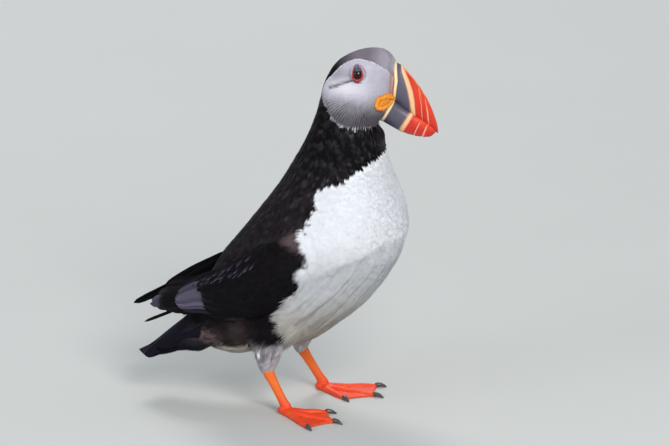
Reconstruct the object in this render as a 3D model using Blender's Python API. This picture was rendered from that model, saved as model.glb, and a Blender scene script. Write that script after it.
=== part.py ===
"""Atlantic puffin, life size, standing alert on both feet with its wings folded.

Metres, +Z up. The bird heads along +X with its left side towards +Y, and the
origin is on the floor, under the middle of its box. Flesh is one smooth loft
from the tail root over the back to the forehead, parted by thin cuts; the
wings, tail, bill and legs are lofts of their own, trimmed where they meet it.
"""

import math
from collections import namedtuple

import bmesh
import bpy
import numpy as np
from mathutils import Matrix, Vector

MM = 0.001

# Driving dimensions, all from the bird's own proportions.
GAP = 0.35 * MM  # between pieces that meet
HEAD_TURN = math.radians(8)  # the head looks a little to its left
NECK_PIVOT_X = 25 * MM  # the neck turns about a vertical line through here
NECK_LOW, NECK_HIGH = 118 * MM, 160 * MM  # the turn grows between these heights
NECK_CUT = ((4, 162), (66, 126))  # back and breast ends of the cut below the neck
HEAD_CUT = ((13, 193), (53, 168))  # nape and throat ends of the cut below the head

EYE_RADIUS = 4.5 * MM
EYE_CENTRE = (36.0, 12.9, 209.5)  # left eye, in millimetres before the head turns

TOE_LENGTHS = {"inner": 25, "middle": 35, "outer": 33}
TOE_SPREAD = {"inner": 33, "middle": 0, "outer": -33}  # degrees, towards the midline
TOE_BASE_RADIUS, TOE_TIP_RADIUS = 2.5, 1.6
WEB_THICKNESS = 1.1
CLAW_LENGTH = 6.0
ANKLE_BLOCK_HEIGHT = 4.6  # the foot ends and the shank begins

Leg = namedtuple("Leg", "side ankle toe_base heading")
LEGS = (
    Leg("right", ankle=(-15, -25, 26), toe_base=(-3.5, -27.5, 4.4), heading=-21),
    Leg("left", ankle=(-5, 24.5, 26), toe_base=(8, 26.5, 4.4), heading=-14),
)

# One rib of the flesh: where it meets the outline of the back and of the
# belly, as (x, z) in millimetres, and its half width.
Rib = namedtuple("Rib", "name back belly half_width")
RIBS = (
    Rib("tail root", (-66, 51), (-60, 38), 11),
    Rib("rump", (-60, 68), (-47, 33), 21),
    Rib("vent", (-52, 84), (-30, 32), 30),
    Rib("thighs", (-40, 101), (-8, 35), 37),
    Rib("belly", (-27, 118), (17.5, 44.5), 41.5),
    Rib("keel", (-13, 137), (45, 66), 43.5),
    Rib("breast", (-4, 152), (62, 92.5), 42.5),
    Rib("shoulders", (3, 165), (66, 120), 38),
    Rib("neck base", (8, 177), (58.5, 142), 30.5),
    Rib("neck", (11.5, 188), (53, 158), 24.5),
    Rib("nape", (14, 199), (52, 168.5), 21),
    Rib("ear", (20, 211), (47.5, 174), 19.3),
    Rib("crown", (29.5, 219.5), (47, 175), 18.8),
    Rib("eye", (40, 223.2), (47.8, 176), 18.4),
    Rib("brow", (51, 222.3), (50, 178), 15.6),
    Rib("lores", (57.3, 216.8), (53, 182), 11),
    Rib("bill root", (60, 209), (56.5, 189), 5),
)
BELLY_FULLNESS = 0.08  # how much wider a rib is on its belly side


# One cross-section of a free form: its centre, the vector to its upper edge,
# the vector to its side, and how far its edges bend back from its middle.
Section = namedtuple("Section", "centre high wide bow")


def clear_scene():
    for old in list(bpy.data.objects):
        bpy.data.objects.remove(old, do_unlink=True)


def new_material(name, colour, roughness, metallic=0.0):
    material = bpy.data.materials.new(name)
    material.use_nodes = True
    shader = material.node_tree.nodes["Principled BSDF"]
    shader.inputs["Base Color"].default_value = (*colour, 1.0)
    shader.inputs["Roughness"].default_value = roughness
    shader.inputs["Metallic"].default_value = metallic
    return material


def through(rows, per_span):
    """Points on a smooth curve through the rows, per_span of them to each span."""
    rows = np.asarray(rows, float)
    before = 2 * rows[0] - rows[1]
    after = 2 * rows[-1] - rows[-2]
    padded = np.vstack([before, rows, after])
    points = []
    for i in range(len(rows) - 1):
        a, b, c, d = padded[i : i + 4]
        for step in range(per_span):
            t = step / per_span
            points.append(
                0.5
                * (
                    2 * b
                    + (c - a) * t
                    + (2 * a - 5 * b + 4 * c - d) * t**2
                    + (3 * b - a - 3 * c + d) * t**3
                )
            )
    points.append(rows[-1])
    return np.array(points)


def loft(name, sections, per_span=3, around=24, fullness=0.0):
    """A closed skin through the sections, in millimetres, as an object in metres."""
    rows = [(*s.centre, *s.high, *s.wide, s.bow) for s in sections]
    bm = bmesh.new()
    rings = []
    for row in through(rows, per_span):
        centre, high, wide = (Vector(row[i : i + 3]) for i in (0, 3, 6))
        bow = wide.normalized() * float(row[9])
        ring = []
        for k in range(around):
            angle = 2 * math.pi * k / around
            cosine, sine = math.cos(angle), math.sin(angle)
            side = wide * sine * (1 - fullness * cosine)
            place = centre + high * cosine + side - bow * cosine**2
            ring.append(bm.verts.new(place * MM))
        rings.append(ring)
    for lower, upper in zip(rings, rings[1:]):
        for k in range(around):
            n = (k + 1) % around
            bm.faces.new((lower[k], lower[n], upper[n], upper[k]))
    bm.faces.new(rings[0][::-1])
    bm.faces.new(rings[-1])
    bmesh.ops.recalc_face_normals(bm, faces=bm.faces)
    return to_object(name, bm)


def to_object(name, bm):
    mesh = bpy.data.meshes.new(name)
    bm.to_mesh(mesh)
    bm.free()
    made = bpy.data.objects.new(name, mesh)
    bpy.context.scene.collection.objects.link(made)
    return made


def copied(source, name):
    twin = source.copy()
    twin.data = source.data.copy()
    twin.name = name
    bpy.context.scene.collection.objects.link(twin)
    return twin


def swollen(source, distance=GAP):
    """A copy whose surface lies this far outside the source's."""
    twin = copied(source, source.name + "_swollen")
    bm = bmesh.new()
    bm.from_mesh(twin.data)
    bm.normal_update()
    moved = [(v, v.co + v.normal * distance * v.calc_shell_factor()) for v in bm.verts]
    for vertex, place in moved:
        vertex.co = place
    bm.to_mesh(twin.data)
    bm.free()
    return twin


def combine(target, other, operation):
    """Boolean of target with other, written into target's own mesh."""
    modifier = target.modifiers.new(operation.lower(), "BOOLEAN")
    modifier.operation = operation
    modifier.solver = "EXACT"
    modifier.object = other
    bpy.context.view_layer.update()
    graph = bpy.context.evaluated_depsgraph_get()
    result = bpy.data.meshes.new_from_object(target.evaluated_get(graph))
    target.modifiers.clear()
    target.data = result
    return target


def trim(target, *neighbours):
    """Cuts target back so that it clears each neighbour by the gap."""
    for neighbour in neighbours:
        cutter = swollen(neighbour)
        combine(target, cutter, "DIFFERENCE")
        bpy.data.objects.remove(cutter, do_unlink=True)
    return keep_largest(target)


def keep_largest(target):
    """Drops the small islands that a trim can leave."""
    bm = bmesh.new()
    bm.from_mesh(target.data)
    unseen, islands = set(bm.verts), []
    while unseen:
        island, front = set(), [unseen.pop()]
        while front:
            vertex = front.pop()
            island.add(vertex)
            for edge in vertex.link_edges:
                other = edge.other_vert(vertex)
                if other in unseen:
                    unseen.remove(other)
                    front.append(other)
        islands.append(island)
    islands.sort(key=len)
    for island in islands[:-1]:
        bmesh.ops.delete(bm, geom=list(island), context="VERTS")
    bm.to_mesh(target.data)
    bm.free()
    return target


def keep_side(target, point, normal):
    """Cuts target by a plane and keeps the side that the normal points to."""
    bm = bmesh.new()
    bm.from_mesh(target.data)
    cut = bmesh.ops.bisect_plane(
        bm,
        geom=bm.verts[:] + bm.edges[:] + bm.faces[:],
        plane_co=point,
        plane_no=normal,
        clear_inner=True,
    )
    rim = [e for e in cut["geom_cut"] if isinstance(e, bmesh.types.BMEdge)]
    bmesh.ops.edgeloop_fill(bm, edges=rim)
    bmesh.ops.recalc_face_normals(bm, faces=bm.faces)
    bm.to_mesh(target.data)
    bm.free()
    return target


def turn_at(height):
    """How far the head's turn has grown at this height, in radians."""
    share = min(1.0, max(0.0, (height - NECK_LOW) / (NECK_HIGH - NECK_LOW)))
    return HEAD_TURN * share * share * (3 - 2 * share)


def turn_with_neck(*targets):
    """Turns what belongs to the head and neck about the neck's upright axis."""
    for target in targets:
        for vertex in target.data.vertices:
            angle = turn_at(vertex.co.z)
            x, y = vertex.co.x - NECK_PIVOT_X, vertex.co.y
            vertex.co.x = NECK_PIVOT_X + x * math.cos(angle) - y * math.sin(angle)
            vertex.co.y = x * math.sin(angle) + y * math.cos(angle)


def rib_section(back, belly, half_width, bow=0.0):
    """The section between two outline points in the bird's upright middle plane."""
    centre = ((back[0] + belly[0]) / 2, 0, (back[1] + belly[1]) / 2)
    high = ((back[0] - belly[0]) / 2, 0, (back[1] - belly[1]) / 2)
    return Section(centre, high, (0, half_width, 0), bow)


def cut_plane(back, front):
    """A cut across the flesh: a point on it, and its upward normal."""
    low, high = (Vector((x * MM, 0, z * MM)) for x, z in (front, back))
    along = (high - low).normalized()
    return low, Vector((along.z, 0, -along.x))


def make_flesh():
    """Trunk, neck and head, cut from one body so that they meet.

    The trunk and neck come out turned. The head is still facing ahead.
    """
    sections = [rib_section(r.back, r.belly, r.half_width) for r in RIBS]
    head = loft("head", sections, per_span=2, around=26, fullness=BELLY_FULLNESS)
    trunk = copied(head, "trunk")
    neck = copied(head, "neck")
    turn_with_neck(trunk, neck)
    half = GAP / 2
    point, up = cut_plane(*NECK_CUT)
    keep_side(trunk, point - up * half, -up)
    keep_side(neck, point + up * half, up)
    point, up = cut_plane(*HEAD_CUT)
    keep_side(head, point + up * half, up)
    pivot = Vector((NECK_PIVOT_X, 0, 0))
    turn = Matrix.Rotation(HEAD_TURN, 3, "Z")
    keep_side(neck, pivot + turn @ (point - up * half - pivot), turn @ -up)
    return trunk, neck, head


def make_bill(head):
    """Upper and lower bill, each a tall thin wedge that narrows to the hooked tip."""
    upper = loft(
        "bill_upper",
        [
            rib_section((51.5, 211.5), (49, 196), 6.0),
            rib_section((59.0, 213.2), (56, 191), 7.0),
            rib_section((66.2, 206.8), (63, 184.8), 6.3),
            rib_section((73.1, 197.5), (70, 180.2), 5.1),
            rib_section((78.4, 187.9), (75.5, 177.0), 3.8),
            rib_section((81.8, 178.8), (80, 173.6), 2.3),
            rib_section((83.2, 172.6), (82.2, 170.6), 0.8),
        ],
        per_span=2,
        around=16,
        fullness=0.28,
    )
    lower = loft(
        "bill_lower",
        [
            rib_section((48, 197), (42, 184), 6.0),
            rib_section((55, 193), (49, 178), 6.8),
            rib_section((62, 188), (57, 173), 6.0),
            rib_section((69.5, 183), (65, 169.6), 5.0),
            rib_section((75.5, 179), (72.5, 168.0), 3.8),
            rib_section((80, 175), (78.5, 168.2), 2.3),
            rib_section((81.8, 171.5), (81.4, 169), 0.8),
        ],
        per_span=2,
        around=16,
        fullness=-0.15,
    )
    trim(upper, head)
    trim(lower, upper, head)
    return upper, lower


def make_ball(name, centre, radius):
    bm = bmesh.new()
    bmesh.ops.create_uvsphere(bm, u_segments=16, v_segments=9, radius=radius)
    x, y, z = centre
    turned = Matrix.Rotation(math.radians(90), 4, "X")
    bmesh.ops.transform(bm, verts=bm.verts, matrix=turned)
    bmesh.ops.translate(bm, verts=bm.verts, vec=(x * MM, y * MM, z * MM))
    return to_object(name, bm)


def make_eye(side, head):
    sign = 1 if side == "left" else -1
    x, y, z = EYE_CENTRE
    eye = make_ball(f"eye_{side}", (x, sign * y, z), EYE_RADIUS)
    trim(head, eye)
    return eye


def make_rosette(side, head, bills):
    """The fleshy pad at the corner of the mouth."""
    sign = 1 if side == "left" else -1
    along = Vector((0.84, -sign * 0.12, -0.5))
    out = Vector((0.1, sign, 0))
    up = Vector((0.5, 0, 0.84))
    centre = Vector((50.0, sign * 11.5, 194.0))
    shares = ((-1, 0.1), (-0.8, 0.6), (-0.35, 0.95), (0.2, 1.0), (0.7, 0.7), (1, 0.12))
    sections = [
        Section(centre + along * 6.4 * s, up * 3.6 * r, out * 4.4 * r, 0)
        for s, r in shares
    ]
    pad = loft(f"gape_rosette_{side}", sections, per_span=2, around=14)
    return trim(pad, head, *bills)


def make_tail(trunk):
    """Sixteen short feathers, folded into one arched wedge under the coverts."""
    tail = loft(
        "tail",
        [
            rib_section((-50, 66), (-46, 44), 16, 0),
            rib_section((-62, 58), (-56, 35), 18, 3),
            rib_section((-74, 48.5), (-70, 33), 18, 4),
            rib_section((-86, 38), (-83, 29.5), 16, 4),
            rib_section((-94, 30.5), (-92, 26.5), 11, 2.5),
            rib_section((-97.2, 27.7), (-96.7, 26.3), 5, 0.6),
        ],
        per_span=2,
        around=20,
    )
    for vertex in tail.data.vertices:
        droop = (vertex.co.y / (18 * MM)) ** 2
        vertex.co.z -= 5 * MM * droop
    return trim(tail, trunk)


def wing_section(sign, centre, half_height, half_thickness, tilt, axis, bow):
    """A lens that lies on the flank: tilt is how far its outer face looks up."""
    angle = math.radians(tilt)
    out = Vector((0, sign * math.cos(angle), math.sin(angle)))
    out = (out - axis * out.dot(axis)).normalized()
    up = axis.cross(out).normalized()
    if up.z < 0:
        up = -up
    x, y, z = centre
    return Section((x, sign * y, z), up * half_height, out * half_thickness, bow)


def make_wing(side, trunk, tail):
    """A folded wing, from the bend under the breast feathers to the primaries."""
    sign = 1 if side == "left" else -1
    reach, lift = (-17, -4.0) if side == "left" else (0, 0)
    rows = (
        # centre x, y, z, half height, half thickness, tilt, bow
        (17, 35.5, 110, 4, 2.0, 12, 0.3),
        (12, 39.5, 105, 13, 4.2, 12, 1.6),
        (-5, 42.0, 92.5, 19.0, 5.4, 12, 3.6),
        (-24, 39.0, 81, 19.0, 5.4, 18, 4.0),
        (-42, 31.5, 74, 15.0, 5.0, 26, 3.2),
        (-58, 22.5, 69, 11.0, 4.0, 34, 1.8),
        (-72, 16.0, 62.5, 6.8, 2.6, 40, 0.7),
        (-84, 11.5, 57, 2.6, 1.3, 42, 0.1),
    )
    first, last = Vector((17, sign * 35.5, 110)), Vector((-84, sign * 11.5, 57))
    axis = (last - first).normalized()
    sections = []
    for x, y, z, half_height, half_thickness, tilt, bow in rows:
        share = max(0.0, -x / 84) ** 2
        centre = (x + reach * share, y, z + lift * share)
        sections.append(
            wing_section(sign, centre, half_height, half_thickness, tilt, axis, bow)
        )
    wing = loft(f"wing_{side}", sections, per_span=2, around=18)
    return trim(wing, trunk, tail)


def make_thigh(leg, trunk, wing):
    """The feathered upper leg, which ends at the ankle."""
    sign = 1 if leg.side == "left" else -1
    ax, ay, az = leg.ankle
    rows = (
        # offset from the ankle, then half length and half width of the section
        ((2.5, -sign * 3, 30), 16, 15),
        ((1.5, -sign * 1.5, 20), 12.5, 12),
        ((0.8, 0, 12), 9.5, 9),
        ((0.3, 0, 5), 6.6, 6.2),
        ((0, 0, 0), 4.4, 3.8),
        ((0, 0, -2.4), 3.0, 2.6),
    )
    sections = [
        Section((ax + x, ay + y, az + z), (long_way, 0, 0), (0, short_way, 0), 0)
        for (x, y, z), long_way, short_way in rows
    ]
    thigh = loft(f"thigh_{leg.side}", sections, per_span=2, around=16)
    return trim(thigh, trunk, wing)


def tube_sections(points, radii, flatten=1.0):
    """Sections of a round limb that follows the points."""
    sections = []
    for i, point in enumerate(points):
        before, after = points[max(0, i - 1)], points[min(len(points) - 1, i + 1)]
        axis = (after - before).normalized()
        side = axis.cross(Vector((0, 0, 1)))
        side = side.normalized() if side.length > 1e-6 else Vector((0, 1, 0))
        up = side.cross(axis)
        sections.append(Section(point, up * radii[i] * flatten, side * radii[i], 0))
    return sections


def make_shank(leg, thigh):
    """The bare tarsus between the feathered thigh and the foot."""
    ankle, base = Vector(leg.ankle), Vector(leg.toe_base)
    points = [ankle.lerp(base, t) for t in (-0.12, 0, 0.25, 0.55, 0.85, 1.0, 1.12)]
    radii = (2.8, 3.4, 3.1, 2.9, 3.2, 3.6, 3.4)
    shank = loft(f"shank_{leg.side}", tube_sections(points, radii, 0.78), 1, 12)
    keep_side(shank, (0, 0, ANKLE_BLOCK_HEIGHT * MM + GAP), (0, 0, 1))
    return trim(shank, thigh)


def toe_direction(leg, toe):
    """Which way a toe points on the floor."""
    inward = -1 if leg.side == "left" else 1
    angle = math.radians(leg.heading + inward * TOE_SPREAD[toe])
    return Vector((math.cos(angle), math.sin(angle), 0))


def toe_line(leg, toe):
    """The toe's bones, from the foot's knuckle to the claw, as (point, radius)."""
    base = Vector((leg.toe_base[0], leg.toe_base[1], 0))
    ahead = toe_direction(leg, toe)
    rows = []
    for share, knuckle in ((0.0, 0.5), (0.3, 0.2), (0.5, 0), (0.72, 0.25), (0.9, 0), (1, -0.2)):
        radius = TOE_BASE_RADIUS + (TOE_TIP_RADIUS - TOE_BASE_RADIUS) * share + knuckle
        place = base + ahead * TOE_LENGTHS[toe] * share
        place.z = 0.62 * radius
        rows.append((place, radius))
    return rows


def make_toe(leg, toe):
    rows = toe_line(leg, toe)
    points, radii = [r[0] for r in rows], [r[1] for r in rows]
    return loft(f"toe_{toe}", tube_sections(points, radii, 0.9), 1, 10)


def make_web(leg):
    """The web between the three toes, with its free edge drawn in a little."""
    base = Vector((leg.toe_base[0], leg.toe_base[1], 0))
    tips = {
        toe: base + toe_direction(leg, toe) * TOE_LENGTHS[toe] * 0.97 for toe in TOE_LENGTHS
    }
    outline = [base]
    for first, second in (("inner", "middle"), ("middle", "outer")):
        for t in (0.0, 0.25, 0.5, 0.75):
            edge = tips[first].lerp(tips[second], t)
            outline.append(edge.lerp(base, 0.1 * math.sin(math.pi * t)))
    outline.append(tips["outer"])
    bm = bmesh.new()
    ring = [bm.verts.new(Vector((p.x, p.y, -1)) * MM) for p in outline]
    plate = bm.faces.new(ring)
    raised = bmesh.ops.extrude_face_region(bm, geom=[plate])
    top = [v for v in raised["geom"] if isinstance(v, bmesh.types.BMVert)]
    bmesh.ops.translate(bm, verts=top, vec=(0, 0, (1 + WEB_THICKNESS) * MM))
    bmesh.ops.recalc_face_normals(bm, faces=bm.faces)
    return to_object("web", bm)


def make_knuckle(leg):
    """The heel pad and the joint where the toes meet under the shank."""
    base = Vector((leg.toe_base[0], leg.toe_base[1], 0))
    ahead = toe_direction(leg, "middle")
    rows = (
        # distance ahead of the joint, height, radius
        (-4.2, 1.2, 1.2),
        (-3.2, 1.9, 2.4),
        (-1.2, 2.6, 3.5),
        (1.5, 2.5, 3.4),
        (4.5, 1.8, 2.6),
    )
    points = [base + ahead * d + Vector((0, 0, height)) for d, height, _ in rows]
    return loft("knuckle", tube_sections(points, [row[2] for row in rows], 0.9), 1, 12)


def make_slab(low, high):
    """A wide flat block between two heights, in millimetres."""
    bm = bmesh.new()
    bmesh.ops.create_cube(bm, size=1)
    bmesh.ops.scale(bm, verts=bm.verts, vec=(300 * MM, 300 * MM, (high - low) * MM))
    bmesh.ops.translate(bm, verts=bm.verts, vec=(0, 0, (high + low) / 2 * MM))
    return to_object("slab", bm)


def make_foot(leg):
    """Three webbed toes and their knuckle, flat on the floor."""
    foot = make_knuckle(leg)
    for piece in (*(make_toe(leg, toe) for toe in TOE_LENGTHS), make_web(leg)):
        combine(foot, piece, "UNION")
        bpy.data.objects.remove(piece, do_unlink=True)
    slab = make_slab(0, ANKLE_BLOCK_HEIGHT)
    combine(foot, slab, "INTERSECT")
    bpy.data.objects.remove(slab, do_unlink=True)
    foot.name = f"foot_{leg.side}"
    return keep_largest(foot)


def make_claw(leg, toe, foot):
    """A horny claw that curves down to the floor from the end of its toe."""
    ahead = toe_direction(leg, toe)
    start = toe_line(leg, toe)[-1][0]
    rows = ((-1.6, 0.5, 1.0), (0.6, 0.9, 1.35), (2.6, 0.8, 1.1), (4.6, 0.15, 0.7), (CLAW_LENGTH, -0.65, 0.25))
    points = [start + ahead * d + Vector((0, 0, lift)) for d, lift, _ in rows]
    radii = [radius for _, _, radius in rows]
    claw = loft(f"claw_{leg.side}_{toe}", tube_sections(points, radii, 1.0), 1, 8)
    keep_side(claw, (0, 0, GAP / 4), (0, 0, 1))
    return trim(claw, foot)


def centre_on_floor(carrier, nodes):
    """Moves the carrier so that the box of the nodes stands centred on the floor."""
    bpy.context.view_layer.update()
    places = np.array([n.matrix_world @ v.co for n in nodes for v in n.data.vertices])
    low, high = places.min(axis=0), places.max(axis=0)
    carrier.location = (-(low[0] + high[0]) / 2, -(low[1] + high[1]) / 2, -low[2])
    bpy.context.view_layer.update()


def finish_node(node, material, carrier):
    """Puts a node's origin at its own middle, and gives it its looks and carrier."""
    corners = np.array([v.co for v in node.data.vertices])
    middle = Vector((corners.min(axis=0) + corners.max(axis=0)) / 2)
    node.data.transform(Matrix.Translation(-middle))
    node.location = middle
    node.parent = carrier
    node.data.materials.clear()
    node.data.materials.append(material)
    node.data.shade_smooth()
    node.data.set_sharp_from_angle(angle=math.radians(40))


def main():
    clear_scene()
    black = new_material("black feathers", (0.017, 0.014, 0.017), 0.55)
    grey = new_material("grey face feathers", (0.50, 0.50, 0.54), 0.6)
    orange = new_material("orange scaly skin", (0.93, 0.16, 0.02), 0.45)
    red_horn = new_material("red bill horn", (0.80, 0.07, 0.03), 0.3)
    yellow = new_material("yellow gape skin", (0.90, 0.42, 0.02), 0.4)
    dark_claw = new_material("dark claw horn", (0.05, 0.045, 0.05), 0.35)
    dark_eye = new_material("dark eye", (0.02, 0.01, 0.01), 0.08)

    trunk, neck, head = make_flesh()
    upper, lower = make_bill(head)
    rosettes = [make_rosette(side, head, (upper, lower)) for side in ("right", "left")]
    eyes = [make_eye(side, head) for side in ("right", "left")]
    turn_with_neck(head, upper, lower, *rosettes, *eyes)

    tail = make_tail(trunk)
    wings = {side: make_wing(side, trunk, tail) for side in ("right", "left")}
    looks = {trunk: black, neck: black, head: grey, tail: black, upper: red_horn, lower: red_horn}
    looks.update(dict.fromkeys(rosettes, yellow))
    looks.update(dict.fromkeys(eyes, dark_eye))
    looks.update(dict.fromkeys(wings.values(), black))
    for leg in LEGS:
        thigh = make_thigh(leg, trunk, wings[leg.side])
        shank = make_shank(leg, thigh)
        foot = make_foot(leg)
        claws = [make_claw(leg, toe, foot) for toe in TOE_LENGTHS]
        looks.update({thigh: grey, shank: orange, foot: orange})
        looks.update(dict.fromkeys(claws, dark_claw))

    carrier = bpy.data.objects.new("puffin", None)
    bpy.context.scene.collection.objects.link(carrier)
    for node, material in looks.items():
        finish_node(node, material, carrier)
    centre_on_floor(carrier, list(looks))


main()
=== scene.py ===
"""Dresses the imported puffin: skin, plumage, quills, bill, eyes, feet and a studio.

Lengths in the tables are millimetres. Body places are (ahead, left, up) from the
point of the floor that the tail is measured from, and head places are the same
in the turned head, whose axes come from the two eyes.
"""

import math
from collections import namedtuple
from contextlib import contextmanager
from functools import partialmethod, wraps
from itertools import product

import bmesh
import bpy
import numpy as np
from bpy.props import FloatProperty, FloatVectorProperty, IntProperty, PointerProperty
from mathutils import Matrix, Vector
from mathutils.bvhtree import BVHTree


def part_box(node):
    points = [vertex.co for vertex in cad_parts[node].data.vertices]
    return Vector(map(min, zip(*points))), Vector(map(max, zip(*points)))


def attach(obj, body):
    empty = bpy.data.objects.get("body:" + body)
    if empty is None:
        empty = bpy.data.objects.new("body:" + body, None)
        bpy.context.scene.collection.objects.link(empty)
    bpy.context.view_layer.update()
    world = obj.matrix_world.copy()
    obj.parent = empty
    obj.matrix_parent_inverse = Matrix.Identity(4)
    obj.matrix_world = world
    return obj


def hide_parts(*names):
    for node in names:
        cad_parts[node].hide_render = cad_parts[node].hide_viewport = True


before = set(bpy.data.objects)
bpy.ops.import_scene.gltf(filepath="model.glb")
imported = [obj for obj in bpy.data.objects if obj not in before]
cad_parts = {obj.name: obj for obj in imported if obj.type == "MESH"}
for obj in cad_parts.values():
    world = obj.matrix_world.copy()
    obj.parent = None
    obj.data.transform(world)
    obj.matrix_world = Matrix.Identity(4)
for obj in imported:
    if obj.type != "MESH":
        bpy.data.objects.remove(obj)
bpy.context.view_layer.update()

bl_info = {
    "name": "Atlantic Puffin",
    "version": (1, 0, 0),
    "blender": (4, 5, 0),
    "location": "View3D > Sidebar > Puffin",
    "description": "Grows the skin, plumage, bill, eyes and feet of a life-size puffin",
    "category": "Object",
}

MM = 0.001
FLESH = ("head", "neck", "trunk", "tail", "wing_right", "wing_left", "thigh_right", "thigh_left")
RIPPLE_RATES = (1.0, 1.73, 2.9, 4.7)  # waves of a ripple, in radians to a unit
SIGNS = {"right": -1, "left": 1}  # which way each side is from the middle
SIDES = tuple(SIGNS)


# ---------------------------------------------------------------- places

TAIL_TIP_BEHIND = 97.2  # from the body's origin back to the tip of the tail
EYE_PLACE = (36.0, 0.0, 209.5)  # midway between the eyes, in head places

tail_low, tail_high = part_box("tail")
BODY_ORIGIN = Vector((tail_low.x + TAIL_TIP_BEHIND * MM, (tail_low.y + tail_high.y) / 2, 0))
eye_middle = {side: sum(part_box(f"eye_{side}"), Vector()) / 2 for side in SIDES}
HEAD_LEFT = (eye_middle["left"] - eye_middle["right"]).normalized()
HEAD_AHEAD = HEAD_LEFT.cross(Vector((0, 0, 1))).normalized()
HEAD_MIDDLE = (eye_middle["left"] + eye_middle["right"]) / 2


def body_places(points):
    """Where points in metres are on the body, in millimetres."""
    return (np.asarray(points, float) - np.array(BODY_ORIGIN)) / MM


def head_places(points):
    """Where points in metres are on the turned head, in millimetres."""
    offset = (np.asarray(points, float) - np.array(HEAD_MIDDLE)) / MM
    axes = np.array([HEAD_AHEAD, HEAD_LEFT, (0, 0, 1)])
    return offset @ axes.T + EYE_PLACE


def from_body(places):
    """Points in metres of places on the body."""
    return np.asarray(places, float) * MM + np.array(BODY_ORIGIN)


def from_head(places):
    """Points in metres of places on the turned head."""
    offset = (np.asarray(places, float) - EYE_PLACE) * MM
    return offset @ np.array([HEAD_AHEAD, HEAD_LEFT, (0, 0, 1)]) + np.array(HEAD_MIDDLE)


def smooth(low, high, value):
    """0 below low, 1 above high, and an even slope between."""
    share = np.clip((np.asarray(value, float) - low) / (high - low), 0, 1)
    return share * share * (3 - 2 * share)


def fade(low, high, value):
    """1 below low, 0 above high, and an even slope between."""
    return 1 - smooth(low, high, value)


def bell(value, width):
    """1 where a value is 0, falling away evenly on both sides of it."""
    return np.exp(-((value / width) ** 2))


def patch(x, z, middle, size):
    """1 in the middle of an oval patch of the side view, falling away around it."""
    return np.exp(-(((x - middle[0]) / size[0]) ** 2 + ((z - middle[1]) / size[1]) ** 2))


def through(rows, count):
    """Points evenly spread over the spans of a smooth curve through the rows."""
    rows = np.asarray(rows, float)
    padded = np.vstack([2 * rows[0] - rows[1], rows, 2 * rows[-1] - rows[-2]])
    at = np.linspace(0, len(rows) - 1, count)
    span = np.minimum(at.astype(int), len(rows) - 2)
    t = (at - span)[:, None]
    a, b, c, d = (padded[span + k] for k in range(4))
    bend = (2 * a - 5 * b + 4 * c - d) * t**2 + (3 * b - a - 3 * c + d) * t**3
    return 0.5 * (2 * b + (c - a) * t + bend)


def line_distance(points, line):
    """Distance of side-view points from an open line."""
    line = np.asarray(line, float)
    start, step = line[:-1], np.diff(line, axis=0)
    offset = points[:, None, :] - start[None]
    share = np.clip((offset * step).sum(-1) / (step**2).sum(-1), 0, 1)
    return np.linalg.norm(offset - share[..., None] * step, axis=-1).min(axis=1)


def depth_inside(points, outline):
    """How far side-view points lie inside a closed outline, less than 0 outside."""
    corners = np.vstack([outline, outline[:1]])
    x, z = points[:, :1], points[:, 1:]
    x0, z0 = corners[:-1].T
    x1, z1 = corners[1:].T
    crosses = (z0 > z) != (z1 > z)
    rise = np.where(z1 == z0, 1.0, z1 - z0)
    left = x < x0 + (z - z0) * (x1 - x0) / rise
    inside = (crosses & left).sum(axis=1) % 2 == 1
    distance = line_distance(points, corners)
    return np.where(inside, distance, -distance)


def ripple(value, seed):
    """An even, repeatable unevenness of about -1 to 1 along a value."""
    phases = np.random.default_rng(seed).uniform(0, 2 * math.pi, len(RIPPLE_RATES))
    waves = [np.sin(value * rate + phase) / rate**0.5 for rate, phase in zip(RIPPLE_RATES, phases)]
    return sum(waves) / sum(1 / rate**0.5 for rate in RIPPLE_RATES)


# ---------------------------------------------------------------- settings


def colour_setting(name, description, default):
    return FloatVectorProperty(
        name=name, description=description, default=default, subtype="COLOR", size=3, min=0, max=1
    )


def length_setting(name, description, default):
    return FloatProperty(
        name=name, description=description, default=default * MM, unit="LENGTH", min=0, precision=5
    )


class PuffinPlumage(bpy.types.PropertyGroup):
    """Colours of the feathers"""

    black: colour_setting("Black", "Collar, wings and back", (0.0042, 0.0034, 0.0045))
    mantle: colour_setting("Mantle", "Brown cast of the back feathers", (0.0100, 0.0074, 0.0090))
    crown: colour_setting("Crown", "Dark grey of the crown", (0.205, 0.177, 0.222))
    brow: colour_setting("Brow", "Paler grey over the bill", (0.46, 0.43, 0.50))
    face: colour_setting("Face", "Lavender grey of the face", (0.585, 0.565, 0.655))
    # the rim colour is also painted as a highlight under the crease behind the eye
    rim: colour_setting("Rim", "Pale rim round the face", (0.93, 0.93, 0.95))
    # the streak colour is also painted as shade over and in the crease and low on the cheek
    streak: colour_setting("Streak", "Dark parting lines of the cheek", (0.10, 0.092, 0.11))
    white: colour_setting("White", "Breast", (0.79, 0.815, 0.86))
    cream: colour_setting("Cream", "Stained lower belly", (0.64, 0.60, 0.53))
    # the lavender of the wing panel is partly worn feathers and partly painted sheen
    lavender: colour_setting("Lavender", "Worn secondaries and thighs", (0.062, 0.055, 0.083))
    brown: colour_setting("Brown", "Faded tuft and vent feathers", (0.14, 0.10, 0.103))
    tail: colour_setting("Tail", "Blue black of the tail", (0.0060, 0.0054, 0.0105))


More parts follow.
